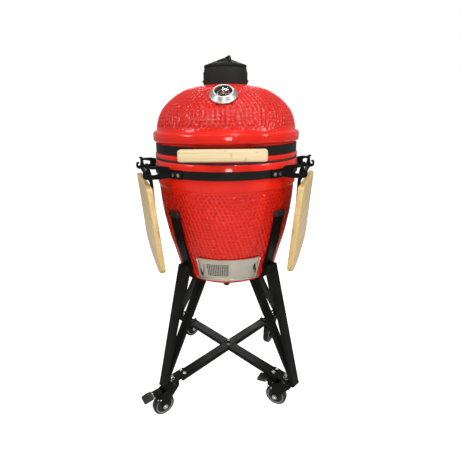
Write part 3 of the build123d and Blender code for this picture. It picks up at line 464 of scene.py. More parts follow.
def dimple_field(rows, seg, pitch=13.4, row_pitch=10.8, depth=2.3, fade=None):
    """Inward offset for each (row, segment) of a turned surface: shallow round dimples in staggered rings."""
    d = np.r_[0, np.cumsum(np.linalg.norm(np.diff(rows, axis=0), axis=1))]
    th = np.arange(seg) / seg * 2 * math.pi
    off = np.zeros((len(rows), seg))
    nrings = int(d[-1] / row_pitch)
    for k in range(nrings + 1):
        s0 = (k + 0.5) * d[-1] / (nrings + 1)
        r0 = np.interp(s0, d, rows[:, 0])
        n = max(8, int(round(2 * math.pi * r0 / pitch)))
        cen = (np.arange(n) + (0.5 if k % 2 else 0.0)) / n * 2 * math.pi
        cen = cen + rng.normal(0, 0.05 * pitch / r0, n)
        cs = s0 + rng.normal(0, 0.05 * row_pitch, n)
        dep = depth * (1 + rng.normal(0, 0.14, n))
        j0, j1 = np.searchsorted(d, s0 - pitch), np.searchsorted(d, s0 + pitch)
        which = np.round((th - (0.5 if k % 2 else 0.0) / n * 2 * math.pi) / (2 * math.pi / n)).astype(int) % n
        dt = (th - cen[which] + math.pi) % (2 * math.pi) - math.pi
        R = 0.53 * pitch
        for j in range(j0, min(j1, len(rows))):
            dist2 = (dt * rows[j, 0]) ** 2 + (d[j] - cs[which]) ** 2
            w = np.clip(1 - dist2 / (R * R), 0, 1)
            off[j] = np.maximum(off[j], dep[which] * w * w * (3 - 2 * w))
    if fade is not None:
        off *= np.array([fade(s, d[-1]) for s in d])[:, None]
    return off


def turned_grid(rows, off, seg, skip=None):
    """Closed solid of revolution from a loop of rows (r, z), moved inwards along the normal by off[j][i]."""
    P = len(rows)
    rows = np.array(rows, float)
    tan = np.roll(rows, -1, 0) - np.roll(rows, 1, 0)
    nrm = np.stack([tan[:, 1], -tan[:, 0]], 1)
    nrm /= np.maximum(np.linalg.norm(nrm, axis=1, keepdims=True), 1e-9)
    nxt = np.roll(rows, -1, 0)
    if (rows[:, 0] * nxt[:, 1] - nxt[:, 0] * rows[:, 1]).sum() < 0:
        nrm = -nrm      # the loop runs the other way round, so its outward side is the other one
    th = np.arange(seg) / seg * 2 * math.pi
    r = rows[:, 0:1] + 0 * th[None, :] - nrm[:, 0:1] * off
    z = rows[:, 1:2] + 0 * th[None, :] - nrm[:, 1:2] * off
    co = np.stack([r * np.cos(th), r * np.sin(th), z], 2).reshape(-1, 3) * MM
    faces = []
    for j in range(P):
        k = (j + 1) % P
        for i in range(seg):
            i2 = (i + 1) % seg
            if skip is not None and skip(j, i):
                continue
            faces.append((j * seg + i, j * seg + i2, k * seg + i2, k * seg + i))
    return co, faces


def set_skin(ob, off, inner_rows):
    """Stores, at each vertex of a turned shell, how deep in a dimple it lies and whether it is on the unglazed inside.
    """
    me = ob.data
    n = len(me.vertices)
    d = np.zeros((n, 3), np.float32)
    m = min(n, off.size)
    d[:m, 0] = np.clip(off.ravel()[:m] / 2.3, 0, 1)
    ins = np.zeros(off.shape, np.float32); ins[inner_rows] = 1
    d[:m, 1] = ins.ravel()[:m]
    me.attributes.new("skin", "FLOAT_VECTOR", "POINT").data.foreach_set("vector", d.ravel())


SEG = 704
STEP = 2.1

# ---- lid
dome_z = [33] + list(range(38, 146, 6)) + [145]
top_pts = [(128, 150.6), (112, 155.6), (96, 159.2), (84, 161.8), (76, 163.3)]
dome_rows = catmull([Z(z) for z in dome_z] + [Z(z) for _, z in top_pts], [dome(z) for z in dome_z] + [r_ for r_, _ in top_pts], STEP)
flange = [(225.4, Z(-33.5)), (225.4, Z(-3)), (226.5, Z(-1.0)), (229.0, Z(0.0)), (232.3, Z(1.2)), (234.2, Z(3.4)), (235.0, Z(7)), (235.0, Z(14)), (235.0, Z(22.0)),
          (234.4, Z(25.6)), (232.8, Z(28.2)), (230.2, Z(29.9)), (227.4, Z(31.0)), (225.2, Z(31.7)), (223.9, Z(32.4))]
lip = [(207.0, Z(-47.9)), (228.5, Z(-47.8)), (231.4, Z(-46.8)), (232.4, Z(-44.4)), (232.4, Z(-37.5)), (231.6, Z(-35)), (229.0, Z(-33.9))]
top = [(72.5, Z(164.0)), (70.5, Z(164.0)), (52, Z(164.0)), (50.2, Z(162.5)), (50.2, Z(154)), (52, Z(152))]
ins_z = [150, 144, 138, 125, 108, 90, 65, 40, 0]
inner = [(dome(z, 202.0, -10, 181.0), Z(z)) for z in ins_z] + [(205.0, Z(-46))]
rows = np.array(lip + flange + [tuple(p) for p in dome_rows] + top + inner)
j0, j1 = len(lip) + len(flange), len(lip) + len(flange) + len(dome_rows)
off = np.zeros((len(rows), SEG))
off[j0:j1] = dimple_field(dome_rows, SEG, fade=lambda s, L: min(1, max(0, (s - 3) / 9)) * min(1, max(0, (L - s - 2) / 9)))
v, f = turned_grid(rows, off, SEG)
lid = new_obj("lid_glazed", v, f, GLAZE_LID, "lid", 50, ["lid"])
set_skin(lid, off, slice(len(rows) - len(inner), len(rows)))

# ---- base with the draft window
out_rows = catmull([Z(z) for z in BODY_Z], BODY_R, STEP)
WZ1, WZ2 = Z(-369), Z(-416)
zz = out_rows[:, 1]
ja = int(np.argmin(abs(zz - WZ1))); jb = int(np.argmin(abs(zz - WZ2)))
blip = [(207.0, Z(-52.1)), (228.5, Z(-52.2)), (231.8, Z(-53.6)), (232.9, Z(-56.6)), (232.9, Z(-94.8)), (232.4, Z(-96.4))]
ic_z = [-425, -424, -420]
ins_pts = [(146.0, -414), (158, -389), (166.0, -358), (181.5, -296), (193.0, -234), (200.5, -172), (MOUTH := 205.0, -110), (205.0, -54)]


def inner_r(z):
    zs = [p[1] for p in ins_pts]; rs = [p[0] for p in ins_pts]
    return float(np.interp(z, zs, rs))


win_in = [(inner_r(zz[j] - RIM), zz[j]) for j in range(jb, ja - 1, -1)]
floor_rows = [(138.0, Z(-453.0)), (60, Z(-453)), (59.9, Z(-425)), (125, Z(-425)), (138, Z(-421)), (144.5, Z(-416.8))]
up_rows = [(inner_r(z), Z(z)) for z in (-358, -327, -296, -265, -234, -203, -172, -141, -110, -80, -54)]
rows = np.array(blip + [tuple(p) for p in out_rows] + floor_rows[1:] + win_in + up_rows)
jo = len(blip)
off = np.zeros((len(rows), SEG))
tex = out_rows[:, 1] < Z(-134.5)
t0 = int(np.argmax(tex)); t1 = int(np.argmin(abs(out_rows[:, 1] - Z(-446))))
off[jo + t0:jo + t1] = dimple_field(out_rows[t0:t1], SEG, fade=lambda s, L: min(1, max(0, (s - 2) / 3)) * min(1, max(0, (L - s) / 12)))
wi0 = int(round((math.radians(-112) % (2 * math.pi)) / (2 * math.pi) * SEG))
wi1 = int(round((math.radians(-88) % (2 * math.pi)) / (2 * math.pi) * SEG))
oa, ob_ = jo + ja, jo + jb
nb = len(blip) + len(out_rows) + len(floor_rows) - 1
ib, ia = nb, nb + len(win_in) - 1        # inner rows: first is at WZ2, last at WZ1
v, f = turned_grid(rows, off, SEG, lambda j, i: wi0 <= i < wi1 and (oa <= j < ob_ or ib <= j < ia))
for i in range(wi0, wi1):
    f.append((oa * SEG + i, oa * SEG + i + 1, ia * SEG + i + 1, ia * SEG + i))
    f.append((ob_ * SEG + i, ib * SEG + i, ib * SEG + i + 1, ob_ * SEG + i + 1))
for k in range(ob_ - oa):
    a, b_, c, d_ = oa + k, oa + k + 1, ia - k - 1, ia - k
    for i in (wi0, wi1):
        f.append((a * SEG + i, b_ * SEG + i, c * SEG + i, d_ * SEG + i))
base = new_obj("base_glazed", v, f, GLAZE, "stand_and_base", 50, ["base"])
set_skin(base, off, slice(jo + len(out_rows) + 1, len(rows)))

# ------------------------------------------------------------------ bamboo handle and shelves
def set_loc(ob, origin, ax, ay, az):
    """Stores each point's own board coordinates (along, across, through) for the wood grain."""
    me = ob.data
    co = np.zeros(len(me.vertices) * 3); me.vertices.foreach_get("co", co)
    co = co.reshape(-1, 3) - np.array(origin)
    M = np.array([ax, ay, az], float)
    loc = co @ M.T
    at = me.attributes.new("loc", "FLOAT_VECTOR", "POINT")
    at.data.foreach_set("vector", loc.astype(np.float32).ravel())


out = rounded([(-115, -15.5), (115, -15.5), (115, 15.5), (-115, 15.5)], [8, 8, 8, 8], 8)
v, f = prism(out, spin(0, -277.0, Z(-21.5)), spin(1, 0), (0, 0, 1), 26.0, 4.5, 6)
handle = new_obj("handle_bamboo", v, f, BAMBOO_H, "lid", 60, ["lid_handle"])
set_loc(handle, tuple(c_ * MM for c_ in spin(0, -290.0, Z(-37))), spin(1, 0), (0, 0, 1), spin(0, 1))


def spline_closed(pts, n=14):
    P = np.array(pts, float)
    out = []
    m = len(P)
    for i in range(m):
        p0, p1, p2, p3 = P[i - 1], P[i], P[(i + 1) % m], P[(i + 2) % m]
        for k in range(n):
            t = k / n
            out.append(0.5 * ((2 * p1) + (-p0 + p2) * t + (2 * p0 - 5 * p1 + 4 * p2 - p3) * t * t + (-p0 + 3 * p1 - 3 * p2 + p3) * t ** 3))
    return [tuple(p) for p in out]


SHELF = {}
for side, sx in (("left", -1), ("right", 1)):
    a = math.radians(-90 + sx * 71.4)
    n = Vector((math.cos(a), math.sin(a), 0))
    u = Vector((-n.y, n.x, 0))
    if u.y < 0:
        u = -u
    ti = math.radians(3.8)
    down = -n * math.sin(ti) - Vector((0, 0, 1)) * math.cos(ti)
    face = n * math.cos(ti) - Vector((0, 0, 1)) * math.sin(ti)
    org = n * {"left": 270.0, "right": 262.0}[side] + Vector((0, 0, Z(-88.0)))
    SHELF[side] = (n, u, down, face, org)
    bottom = [(180, 252), (175, 273), (150, 287), (80, 298), (0, 301), (-80, 298), (-150, 287), (-175, 273), (-180, 252)]
    top_e = [(-158, 42), (-154, 26.0), (154, 26.0), (158, 42)]
    curve = []
    for i in range(len(bottom) - 1):
        q0, q1, q2, q3 = (Vector(bottom[max(0, i - 1)]), Vector(bottom[i]), Vector(bottom[i + 1]), Vector(bottom[min(len(bottom) - 1, i + 2)]))
        for k in range(8):
            t = k / 8
            curve.append(tuple(0.5 * ((2 * q1) + (q2 - q0) * t + (2 * q0 - 5 * q1 + 4 * q2 - q3) * t * t + (3 * q1 - q0 - 3 * q2 + q3) * t ** 3)))
    curve.append(bottom[-1])
    top_r = [p_ for p_ in rounded(top_e, [0, 11, 11, 0], 7)] + curve
    v, f = prism(top_r, org + face * 9.0, u, down, 18.0, 4.6, 6)
    ob = new_obj(f"shelf_board_{side}", v, f, BAMBOO, f"shelf_{side}", 60, [f"shelf_{side}"])
    set_loc(ob, org * MM, u, down, face)

# ------------------------------------------------------------------ thermometer
e = math.radians(52.0)
tn = Vector(spin(0, -math.cos(e), math.sin(e)))
to = Vector(spin(0, -167.6, Z(128.0)))
tx = Vector(spin(1, 0))
ty = tn.cross(tx)
prof = [(4.0, 0.8), (36.0, 0.8), (36.4, -1.2), (37.4, -1.6), (38.2, -1.2), (38.5, 0.2), (38.5, 2.0), (38.2, 3.0), (37.4, 3.6), (36.6, 3.8), (36.2, 4.3),
        (34.6, 6.2), (32.0, 9.2), (30.6, 11.2), (29.6, 12.8), (28.6, 13.9), (27.2, 14.5), (25.6, 14.5), (24.5, 14.1), (24.1, 13.2), (24.1, 12.7), (26.5, 12.7), (26.5, 2.6), (4.0, 2.6)]
v, f = lathe(prof, to, tn, 128)
new_obj("thermometer_ring", v, f, STEEL, "lid", 42, ["thermometer_bezel"])

# printed dial: graduations and coloured arcs as thin raised ink
m_dial = m_simple("dial_black", (0.012, 0.014, 0.014), 0.45, 0.0, 900.0, 0.05)
m_white = m_simple("dial_white_ink", (0.80, 0.78, 0.70), 0.5, 0.0, 900.0, 0.02)
m_yellow = m_simple("dial_yellow_ink", (0.78, 0.66, 0.30), 0.5, 0.0, 900.0, 0.02)
m_red = m_simple("dial_red_ink", (0.62, 0.10, 0.12), 0.5, 0.0, 900.0, 0.02)


def ring_sector(r0, r1, a0, a1, h0, h1, seg=24):
    """Flat curved bar on the dial; angles in degrees clockwise from the top."""
    verts, faces = [], []
    for i in range(seg + 1):
        t = math.radians(a0 + (a1 - a0) * i / seg)
        d = tx * math.sin(t) + ty * math.cos(t)
        for r, h in ((r0, h0), (r1, h0), (r1, h1), (r0, h1)):
            verts.append((to + d * r + tn * h) * MM)
    for i in range(seg):
        for k in range(4):
            k2 = (k + 1) % 4
            faces.append([i * 4 + k, i * 4 + k2, (i + 1) * 4 + k2, (i + 1) * 4 + k])
    faces.append([0, 1, 2, 3]); faces.append([seg * 4 + k for k in (3, 2, 1, 0)])
    return verts, faces


dp = [(1.6, 5.0), (26.3, 5.0), (26.4, 5.6), (26.3, 6.2), (24.2, 6.2), (24.0, 6.05), (1.6, 6.05)]
v, f = lathe(dp, to, tn, 96)
new_obj("thermometer_dial_plate", v, f, m_dial, "lid", 30, ["thermometer_dial"])
ink_w, ink_y, ink_r = [], [], []
ink_y.append(ring_sector(14.2, 16.2, -132, -28, 6.05, 6.2))
ink_w.append(ring_sector(14.2, 16.0, -26, 26, 6.05, 6.2))
ink_r.append(ring_sector(14.0, 16.4, 28, 132, 6.05, 6.2))
for k in range(25):
    ang = -132 + 11 * k
    if abs(ang) <= 133:
        big = k % 3 == 0
        ink_w.append(ring_sector(17.6, 20.6 if big else 19.2, ang - (0.9 if big else 0.5), ang + (0.9 if big else 0.5), 6.05, 6.2, 2))
ink_w.append(ring_sector(6.2, 6.9, 0, 359.9, 6.05, 6.2, 40))
for nm, parts, mt in (("dial_marks_white", ink_w, m_white), ("dial_arc_yellow", ink_y, m_yellow), ("dial_arc_red", ink_r, m_red)):
    v, f = merge(*parts)
    new_obj(nm, v, f, mt, "lid", 30)
# needle: tapered pointer with a counterweight and a hub cap
tip = [(-1.4, -7.5), (1.4, -7.5), (1.0, 0), (0.35, 20.5), (-0.35, 20.5), (-1.0, 0)]
p1 = prism(tip, to + tn * 7.5, tx, ty, 0.8, 0.2, 2)
p2 = lathe([(0, 5.3), (1.5, 5.3), (1.5, 6.9), (3.2, 7.1), (3.2, 8.0), (2.4, 8.7), (0, 9.0)], to, tn, 40)
v, f = merge(p1, p2)
new_obj("thermometer_pointer", v, f, m_simple("pointer_paint", (0.75, 0.2, 0.16), 0.4, 0, 900.0, 0.02), "needle", 35, ["thermometer_needle"])

glass, nt, b = mat_new("clear_lens")
b.inputs["Base Color"].default_value = (0.97, 0.99, 0.98, 1)
b.inputs["Transmission Weight"].default_value = 1.0
b.inputs["IOR"].default_value = 1.15
vg = coords(nt)
nt.links.new(remap(nt, noise(nt, vg, 40.0), 0.3, 0.7, 0.01, 0.05), b.inputs["Roughness"])
v, f = lathe([(0, 11.0), (26.0, 11.0), (26.4, 11.3), (26.4, 12.2), (26.0, 12.5), (14, 12.9), (0, 13.1)], to, tn, 96)
new_obj("thermometer_lens", v, f, glass, "lid", 40, ["thermometer_glass"])

# ------------------------------------------------------------------ chimney vent
from mathutils.geometry import delaunay_2d_cdt


def pierced_disc(radii, holes, top, bottom, seg=96, hole_seg=28):
    """Turned plate whose faces follow top(r) and bottom(r), with round holes (x, y, radius) through it; all mm."""
    pts, edges = [], []
    for r_ in radii:
        if r_ < 1e-6:
            pts.append(Vector((0, 0)))
            continue
        k0 = len(pts)
        n = max(12, int(seg * min(1.0, 0.35 + r_ / max(radii))))
        for i in range(n):
            t = 2 * math.pi * i / n
            p_ = Vector((r_ * math.cos(t), r_ * math.sin(t)))
            pts.append(p_)
        edges += [(k0 + i, k0 + (i + 1) % n) for i in range(n)]
    keep = [i for i, p_ in enumerate(pts) if all((p_ - Vector(h_[:2])).length > h_[2] + 0.4 for h_ in holes)]
    m = {k: i for i, k in enumerate(keep)}
    pts = [pts[k] for k in keep]
    edges = [(m[p_], m[q_]) for p_, q_ in edges if p_ in m and q_ in m]
    for hx_, hy_, hr_ in holes:
        k0 = len(pts)
        pts += [Vector((hx_ + hr_ * math.cos(2 * math.pi * i / hole_seg), hy_ + hr_ * math.sin(2 * math.pi * i / hole_seg))) for i in range(hole_seg)]
        edges += [(k0 + i, k0 + (i + 1) % hole_seg) for i in range(hole_seg)]
    res = delaunay_2d_cdt(pts, edges, [], 0, 1e-5)
    P2, tris = res[0], [list(t_) for t_ in res[2]]
    good = []
    for t_ in tris:
        c = sum((P2[i] for i in t_), Vector((0, 0))) / len(t_)
        if all((c - Vector(h_[:2])).length > h_[2] * 0.999 for h_ in holes):
            good.append(t_)
    n = len(P2)
    verts = [Vector((p_.x, p_.y, top(p_.length))) * MM for p_ in P2] + [Vector((p_.x, p_.y, bottom(p_.length))) * MM for p_ in P2]
    faces = [t_ for t_ in good] + [[i + n for i in reversed(t_)] for t_ in good]
    count = {}
    for t_ in good:
        for i in range(len(t_)):
            e_ = (t_[i], t_[(i + 1) % len(t_)])
            count[tuple(sorted(e_))] = None if tuple(sorted(e_)) in count else e_
    for e_ in count.values():
        if e_ is not None:
            faces.append([e_[1], e_[0], e_[0] + n, e_[1] + n])
    used = sorted({k for q in faces for k in q})
    m = {k: i for i, k in enumerate(used)}
    return [verts[k] for k in used], [[m[k] for k in q] for q in faces]


wall_p = [(61.0, Z(163.0)), (69.0, Z(163.0)), (69.3, Z(164.6)), (69.2, Z(170.0)), (69.0, Z(180.0)), (69.0, Z(200.6)), (68.7, Z(202.0)), (67.2, Z(203.4)), (66.8, Z(204.4)), (66.7, Z(209.6)),
          (66.2, Z(211.2)), (64.8, Z(212.2)), (61.0, Z(212.5)), (61.0, Z(209.5)), (61.0, Z(168.0))]
ports = [(34 * math.cos(math.radians(30 + 120 * i)), 34 * math.sin(math.radians(30 + 120 * i)), 15.0) for i in range(3)]
v, f = merge(lathe(wall_p, (0, 0, 0), (0, 0, 1), 144),
             pierced_disc([8.0, 14, 22, 34, 46, 55, 62.0], ports + [(0, 0, 7.0)], lambda r_: Z(212.4), lambda r_: Z(209.5)))
new_obj("vent_housing_cast", v, f, CAP, "lid", 38, ["vent_housing"])
screws = []
for deg_ in (0, 180):
    t = math.radians(deg_)
    d_ = Vector((math.cos(t), math.sin(t), 0))
    o_ = Vector((0, 0, Z(176.0)))
    screws.append(lathe([(0, 68.0), (4.0, 68.0), (4.2, 69.2), (3.8, 70.6), (2.8, 71.6), (1.8, 72.0), (1.3, 71.1), (0, 71.0)], o_, d_, 40))
v, f = merge(*screws)
new_obj("vent_screws", v, f, CAP, "lid", 40, None)


def roof_top(r_):
    c = math.sqrt(r_ * r_ + 36.0) - 6.0
    return Z(243.3) - (243.3 - 220.6) * c / (math.sqrt(66.0 ** 2 + 36.0) - 6.0)


port = [(-9.4, -33.0, 9.0)]
rim_p = [(58.0, Z(219.6)), (61.0, Z(213.9)), (64.0, Z(213.3)), (65.2, Z(213.6)), (65.9, Z(214.6)), (66.2, Z(217.0)), (66.3, Z(219.2)), (65.9, Z(220.6)), (64.8, Z(221.4)), (62.0, Z(222.2)), (58.0, Z(221.8))]
spindle = [(0, Z(212.9)), (6.6, Z(212.9)), (6.9, Z(213.5)), (6.9, Z(238.8)), (0, Z(239.6))]
collar = []
for i in range(29):
    t = 2 * math.pi * i / 28
    collar.append((math.cos(t), math.sin(t)))
cv, cf = [], []
for ring_r, dz_ in ((9.0, -2.6), (9.0, 0.5), (9.5, 0.95), (10.3, 0.9), (10.9, 0.25), (11.0, -0.4)):
    for c_, s_ in collar[:-1]:
        x_, y_ = -9.4 + ring_r * c_, -33.0 + ring_r * s_
        cv.append(Vector((x_, y_, roof_top(math.hypot(x_, y_)) + dz_)) * MM)
for j in range(5):
    for i in range(28):
        i2 = (i + 1) % 28
        cf.append([j * 28 + i, j * 28 + i2, (j + 1) * 28 + i2, (j + 1) * 28 + i])
fa = math.radians(-73.4)
fu = Vector((math.cos(fa), math.sin(fa), 0))
fin = rounded([(2.5, Z(239.0)), (2.5, Z(243.9)), (20.0, Z(244.2)), (44.5, Z(244.2)), (48.5, Z(241.0)), (57.0, Z(228.5)), (65.0, Z(219.5)), (65.0, Z(216.6)), (61.5, Z(216.6)), (9.0, Z(238.4))], [1, 2, 4, 4, 4, 12, 2, 1, 1, 1], 6)
v, f = merge(pierced_disc([0.0, 4, 9, 15, 22, 30, 38, 46, 54, 62.0], port, roof_top, lambda r_: roof_top(r_) - 2.6),
             lathe(rim_p, (0, 0, 0), (0, 0, 1), 144), lathe(spindle, (0, 0, 0), (0, 0, 1), 40),
             prism(fin, (0, 0, 0), fu, (0, 0, 1), 6.0, 1.4, 4), (cv, cf))
new_obj("vent_roof_cast", v, f, CAP, "vent_damper", 38, ["vent_damper"])

# ------------------------------------------------------------------ draft door
def wall_r(h):
    return 171.3 + (h + 430.0) * (192.7 - 171.3) / 80.0


def cone_point(az, h, off):
    t = math.radians(-90 + az)
    r = wall_r(h) + off
    return Vector((r * math.cos(t), r * math.sin(t), Z(h))) * MM


def cone_plate(azs, hs, solid, o_in, o_out):
    """Plate that follows the conical wall, made of the cells of a grid for which solid(i, j) is true."""
    A, H = len(azs), len(hs)
    verts = [cone_point(a_, h_, o_in) for h_ in hs for a_ in azs] + [cone_point(a_, h_, o_out) for h_ in hs for a_ in azs]
    N = A * H
    ix = lambda i, j, k: k * N + j * A + i
    on = lambda i, j: 0 <= i < A - 1 and 0 <= j < H - 1 and solid(i, j)
    faces = []
    for j in range(H - 1):
        for i in range(A - 1):
            if not on(i, j):
                continue
            faces.append([ix(i, j, 1), ix(i + 1, j, 1), ix(i + 1, j + 1, 1), ix(i, j + 1, 1)])
            faces.append([ix(i, j, 0), ix(i, j + 1, 0), ix(i + 1, j + 1, 0), ix(i + 1, j, 0)])
            for di, dj, p, q in ((-1, 0, (i, j + 1), (i, j)), (1, 0, (i + 1, j), (i + 1, j + 1)), (0, -1, (i, j), (i + 1, j)), (0, 1, (i + 1, j + 1), (i, j + 1))):
                if not on(i + di, j + dj):
                    faces.append([ix(*p, 1), ix(*p, 0), ix(*q, 0), ix(*q, 1)])
    used = sorted({k for q in faces for k in q})
    m = {k: i for i, k in enumerate(used)}
    return [verts[k] for k in used], [[m[k] for k in q] for q in faces]


def grid_lines(a0, a1, step):
    n = max(1, int(round((a1 - a0) / step)))
    return [a0 + (a1 - a0) * i / n for i in range(n + 1)]


def loop_handle(az, h0, h1, off, stand, half, lean=0.0, n=18):
    """Pressed strip that stands off a plate and lands on it at both ends."""
    sec = rounded([(-half, 0), (half, 0), (half, 1.2), (-half, 1.2)], 0.5, 3)
    verts, faces = [], []
    K = len(sec)
    for i in range(n + 1):
        t = i / n
        h_ = h0 + (h1 - h0) * t
        rise = stand * (math.sin(math.pi * t) ** 0.45)
        az_ = az + lean * (t - 0.5)
        for x_, y_ in sec:
            r = wall_r(h_)
            verts.append(cone_point(az_ + math.degrees(x_ / r), h_, off + rise + y_))
    for i in range(n):
        for k in range(K):
            k2 = (k + 1) % K
            faces.append([i * K + k, i * K + k2, (i + 1) * K + k2, (i + 1) * K + k])
    faces.append(list(range(K))[::-1]); faces.append([n * K + k for k in range(K)])
    return verts, faces


def oval_painted_shadow(az, h, ra, rh, off, depth=0.5, n=36):
    """Thin dark oval set on a plate: painted shade beside a pull that stands off it."""
    verts, faces = [], []
    for o_ in (off, off + depth):
        for i in range(n):
            t = 2 * math.pi * i / n
            verts.append(cone_point(az + math.degrees(ra * math.cos(t) / wall_r(h)), h + rh * math.sin(t), o_))
    faces.append(list(range(n))[::-1]); faces.append([n + i for i in range(n)])
    for i in range(n):
        i2 = (i + 1) % n
        faces.append([i, i2, n + i2, n + i])
    return verts, faces


def arc_strip(sec, a0, a1, step=1.2):
    """Bar of closed section (stand-off, height) bent round the conical wall."""
    n = max(2, int(round((a1 - a0) / step)))
    K = len(sec)
    verts = [cone_point(a0 + (a1 - a0) * i / n, h_, o_) for i in range(n + 1) for o_, h_ in sec]
    faces = [[i * K + k, i * K + (k + 1) % K, (i + 1) * K + (k + 1) % K, (i + 1) * K + k] for i in range(n) for k in range(K)]
    faces += [list(range(K))[::-1], [n * K + k for k in range(K)]]
    return verts, faces


rail_t = rounded([(1.0, -355.0), (1.0, -349.0), (7.6, -349.0), (7.6, -355.0)], [0.3, 0.3, 1.2, 0.8], 4)
rail_b = rounded([(1.0, -431.0), (1.0, -425.6), (7.6, -425.6), (7.6, -431.0)], [0.3, 0.3, 0.8, 1.2], 4)
side_s = rounded([(1.0, -428.0), (1.0, -352.0), (7.6, -352.0), (7.6, -428.0)], [0.3, 0.3, 0.6, 0.6], 3)
sheet = lambda a_, b_: [(1.0, a_), (1.0, b_), (1.9, b_), (1.9, a_)]
v, f = merge(arc_strip(rail_t, -29.7, 31.2), arc_strip(rail_b, -29.7, 31.2), arc_strip(side_s, -29.8, -28.3), arc_strip(side_s, 29.9, 31.3),
             arc_strip(sheet(-427.0, -421.0), -29.0, 30.8), arc_strip(sheet(-364.0, -353.0), -29.0, 30.8), arc_strip(sheet(-422.0, -363.0), -29.0, -23.0), arc_strip(sheet(-422.0, -363.0), 3.0, 30.8))
new_obj("draft_frame_pressed", v, f, DOOR, "stand_and_base", 35, ["draft_frame"])

hole_a, hole_h = [], []
for i in range(12):
    a0_ = -20.3 + i * 1.80
    hole_a.append((a0_, a0_ + 1.24))
for j in range(8):
    h0_ = -412.4 + j * 5.7
    hole_h.append((h0_, h0_ + 3.9))
azs = sorted(set([-28.0, -26.6, -25.2, -23.6, -22.2, 2.2, 3.4] + [x_ for p_ in hole_a for x_ in p_]))
hs = sorted(set([-425.4, -418.0, -362.0, -355.2] + [x_ for p_ in hole_h for x_ in p_]))
is_hole = lambda i, j: any(abs(azs[i] - p_[0]) < 1e-6 for p_ in hole_a) and any(abs(hs[j] - p_[0]) < 1e-6 for p_ in hole_h)
v, f = merge(cone_plate(azs, hs, lambda i, j: not is_hole(i, j), 2.75, 3.85),
             loop_handle(-24.6, -404.0, -372.0, 3.6, 5.6, 2.6, 2.4))
new_obj("screen_plate", v, f, DOOR, "draft_screen", 30, ["draft_screen"])
# the dark ovals beside the pulls are painted shade where the pressed strip stands off the plate
v, f = oval_painted_shadow(-26.9, -404.0, 3.6, 14.0, 3.86, 0.35)
PAINTED_SHADOW_BLACK = m_simple("door_painted_shadow_black", (0.008, 0.008, 0.008), 0.7, 0.0, 900.0, 0.1)
new_obj("screen_pull_painted_shadow", v, f, PAINTED_SHADOW_BLACK, "draft_screen", 30)
v, f = merge(cone_plate(grid_lines(1.0, 29.8, 1.2), grid_lines(-425.4, -355.2, 8), lambda i, j: True, 4.45, 5.75),
             loop_handle(28.3, -410.0, -368.0, 5.5, 7.0, 2.0, -1.8))
new_obj("door_plate", v, f, DOOR, "draft_door", 30, ["draft_door"])
v, f = merge(oval_painted_shadow(26.6, -384.0, 3.4, 13.0, 5.76, 0.35), oval_painted_shadow(28.9, -398.0, 2.6, 13.0, 5.76, 0.35))
new_obj("door_pull_painted_shadow", v, f, PAINTED_SHADOW_BLACK, "draft_door", 30)

print("scene part 1 done")


# ------------------------------------------------------------------ CAD nodes that stay: softened edges and a real finish
def dress(name, mat, width=0.8, segments=2, angle=30.0, smooth=38.0):
    o = NODES[name]
    o.data.materials.clear()
    o.data.materials.append(mat)
    o.data.polygons.foreach_set("use_smooth", [True] * len(o.data.polygons))
    w = o.modifiers.new("weld", "WELD"); w.merge_threshold = 1e-5
    if width:
        b = o.modifiers.new("bevel", "BEVEL")
        b.width = width * MM; b.segments = segments
        b.limit_method = "ANGLE"; b.angle_limit = math.radians(angle)
        b.use_clamp_overlap = True; b.harden_normals = False
        wn = o.modifiers.new("wn", "WEIGHTED_NORMAL"); wn.keep_sharp = True
    return o


for n_ in ("leg_front_left", "leg_front_right", "leg_rear_left", "leg_rear_right"):
    dress(n_, BLACK, 1.8, 3)
for n_ in ("brace_upper", "brace_lower"):
    dress(n_, BLACK, 1.4, 3)
for n_ in ("lid_strap", "base_strap"):
    dress(n_, BAND, 0.6, 2)
for n_ in ("hinge_base_bracket", "hinge_lid_bracket", "handle_brackets", "shelf_arms_left", "shelf_arms_right", "shelf_bracket_left", "shelf_bracket_right"):
    dress(n_, BLACK, 0.7, 2)
for n_ in ("shelf_rod_left", "shelf_rod_right"):
    dress(n_, BLACK, 0.6, 2)
for n_ in ("arm_pads",):
    dress(n_, RUBBER, 2.2, 3)
lo_, hi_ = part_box("base_bumper")
bx_, by_ = (lo_[0] + hi_[0]) / 2 / MM, (lo_[1] + hi_[1]) / 2 / MM
bt_, bb_ = hi_[2] / MM, lo_[2] / MM - 2.5
br_ = max(12.0, (hi_[0] - lo_[0]) / 2 / MM)
bump_prof = [(0.0, bt_), (br_, bt_), (br_, bt_ - 2.0)] + [(br_ * math.cos(math.radians(t_)), bt_ - 2.0 - (bt_ - 2.0 - bb_) * math.sin(math.radians(t_))) for t_ in range(10, 90, 10)] + [(0.0, bb_)]
v, f = lathe(bump_prof, (bx_, by_, 0.0), (0, 0, 1), 48)
new_obj("base_bumper_rubber", v, f, RUBBER, "stand_and_base", 50, ["base_bumper"])
for n_ in ("hinge_pin", "lid_band_bolts", "base_band_bolts", "brace_bolts", "foot_bolts", "caster_stems", "thermometer_nut"):
    dress(n_, BOLT, 0.7, 2)
dress("hinge_springs", BOLT, 0)
dress("thermometer_probe", STEEL, 0.3, 2)
dress("draft_rivets", BOLT, 0.6, 2)
for n_, za, zb, bd in (("lid_gasket", -46.6, -49.95, "lid"), ("base_gasket", -50.05, -53.6, "stand_and_base")):
    zl, zh = min(za, zb), max(za, zb)
    sec = rounded([(206.0, Z(zl)), (231.9, Z(zl)), (231.9, Z(zh)), (206.0, Z(zh))], [0.8, 1.2, 1.2, 0.8], 4)
    v, f = lathe(sec, seg=160)
    new_obj(n_ + "_felt", v, f, FELT, bd, 50, [n_])
dress("firebox", REFR, 2.0, 2); dress("fire_ring", REFR, 2.5, 2)
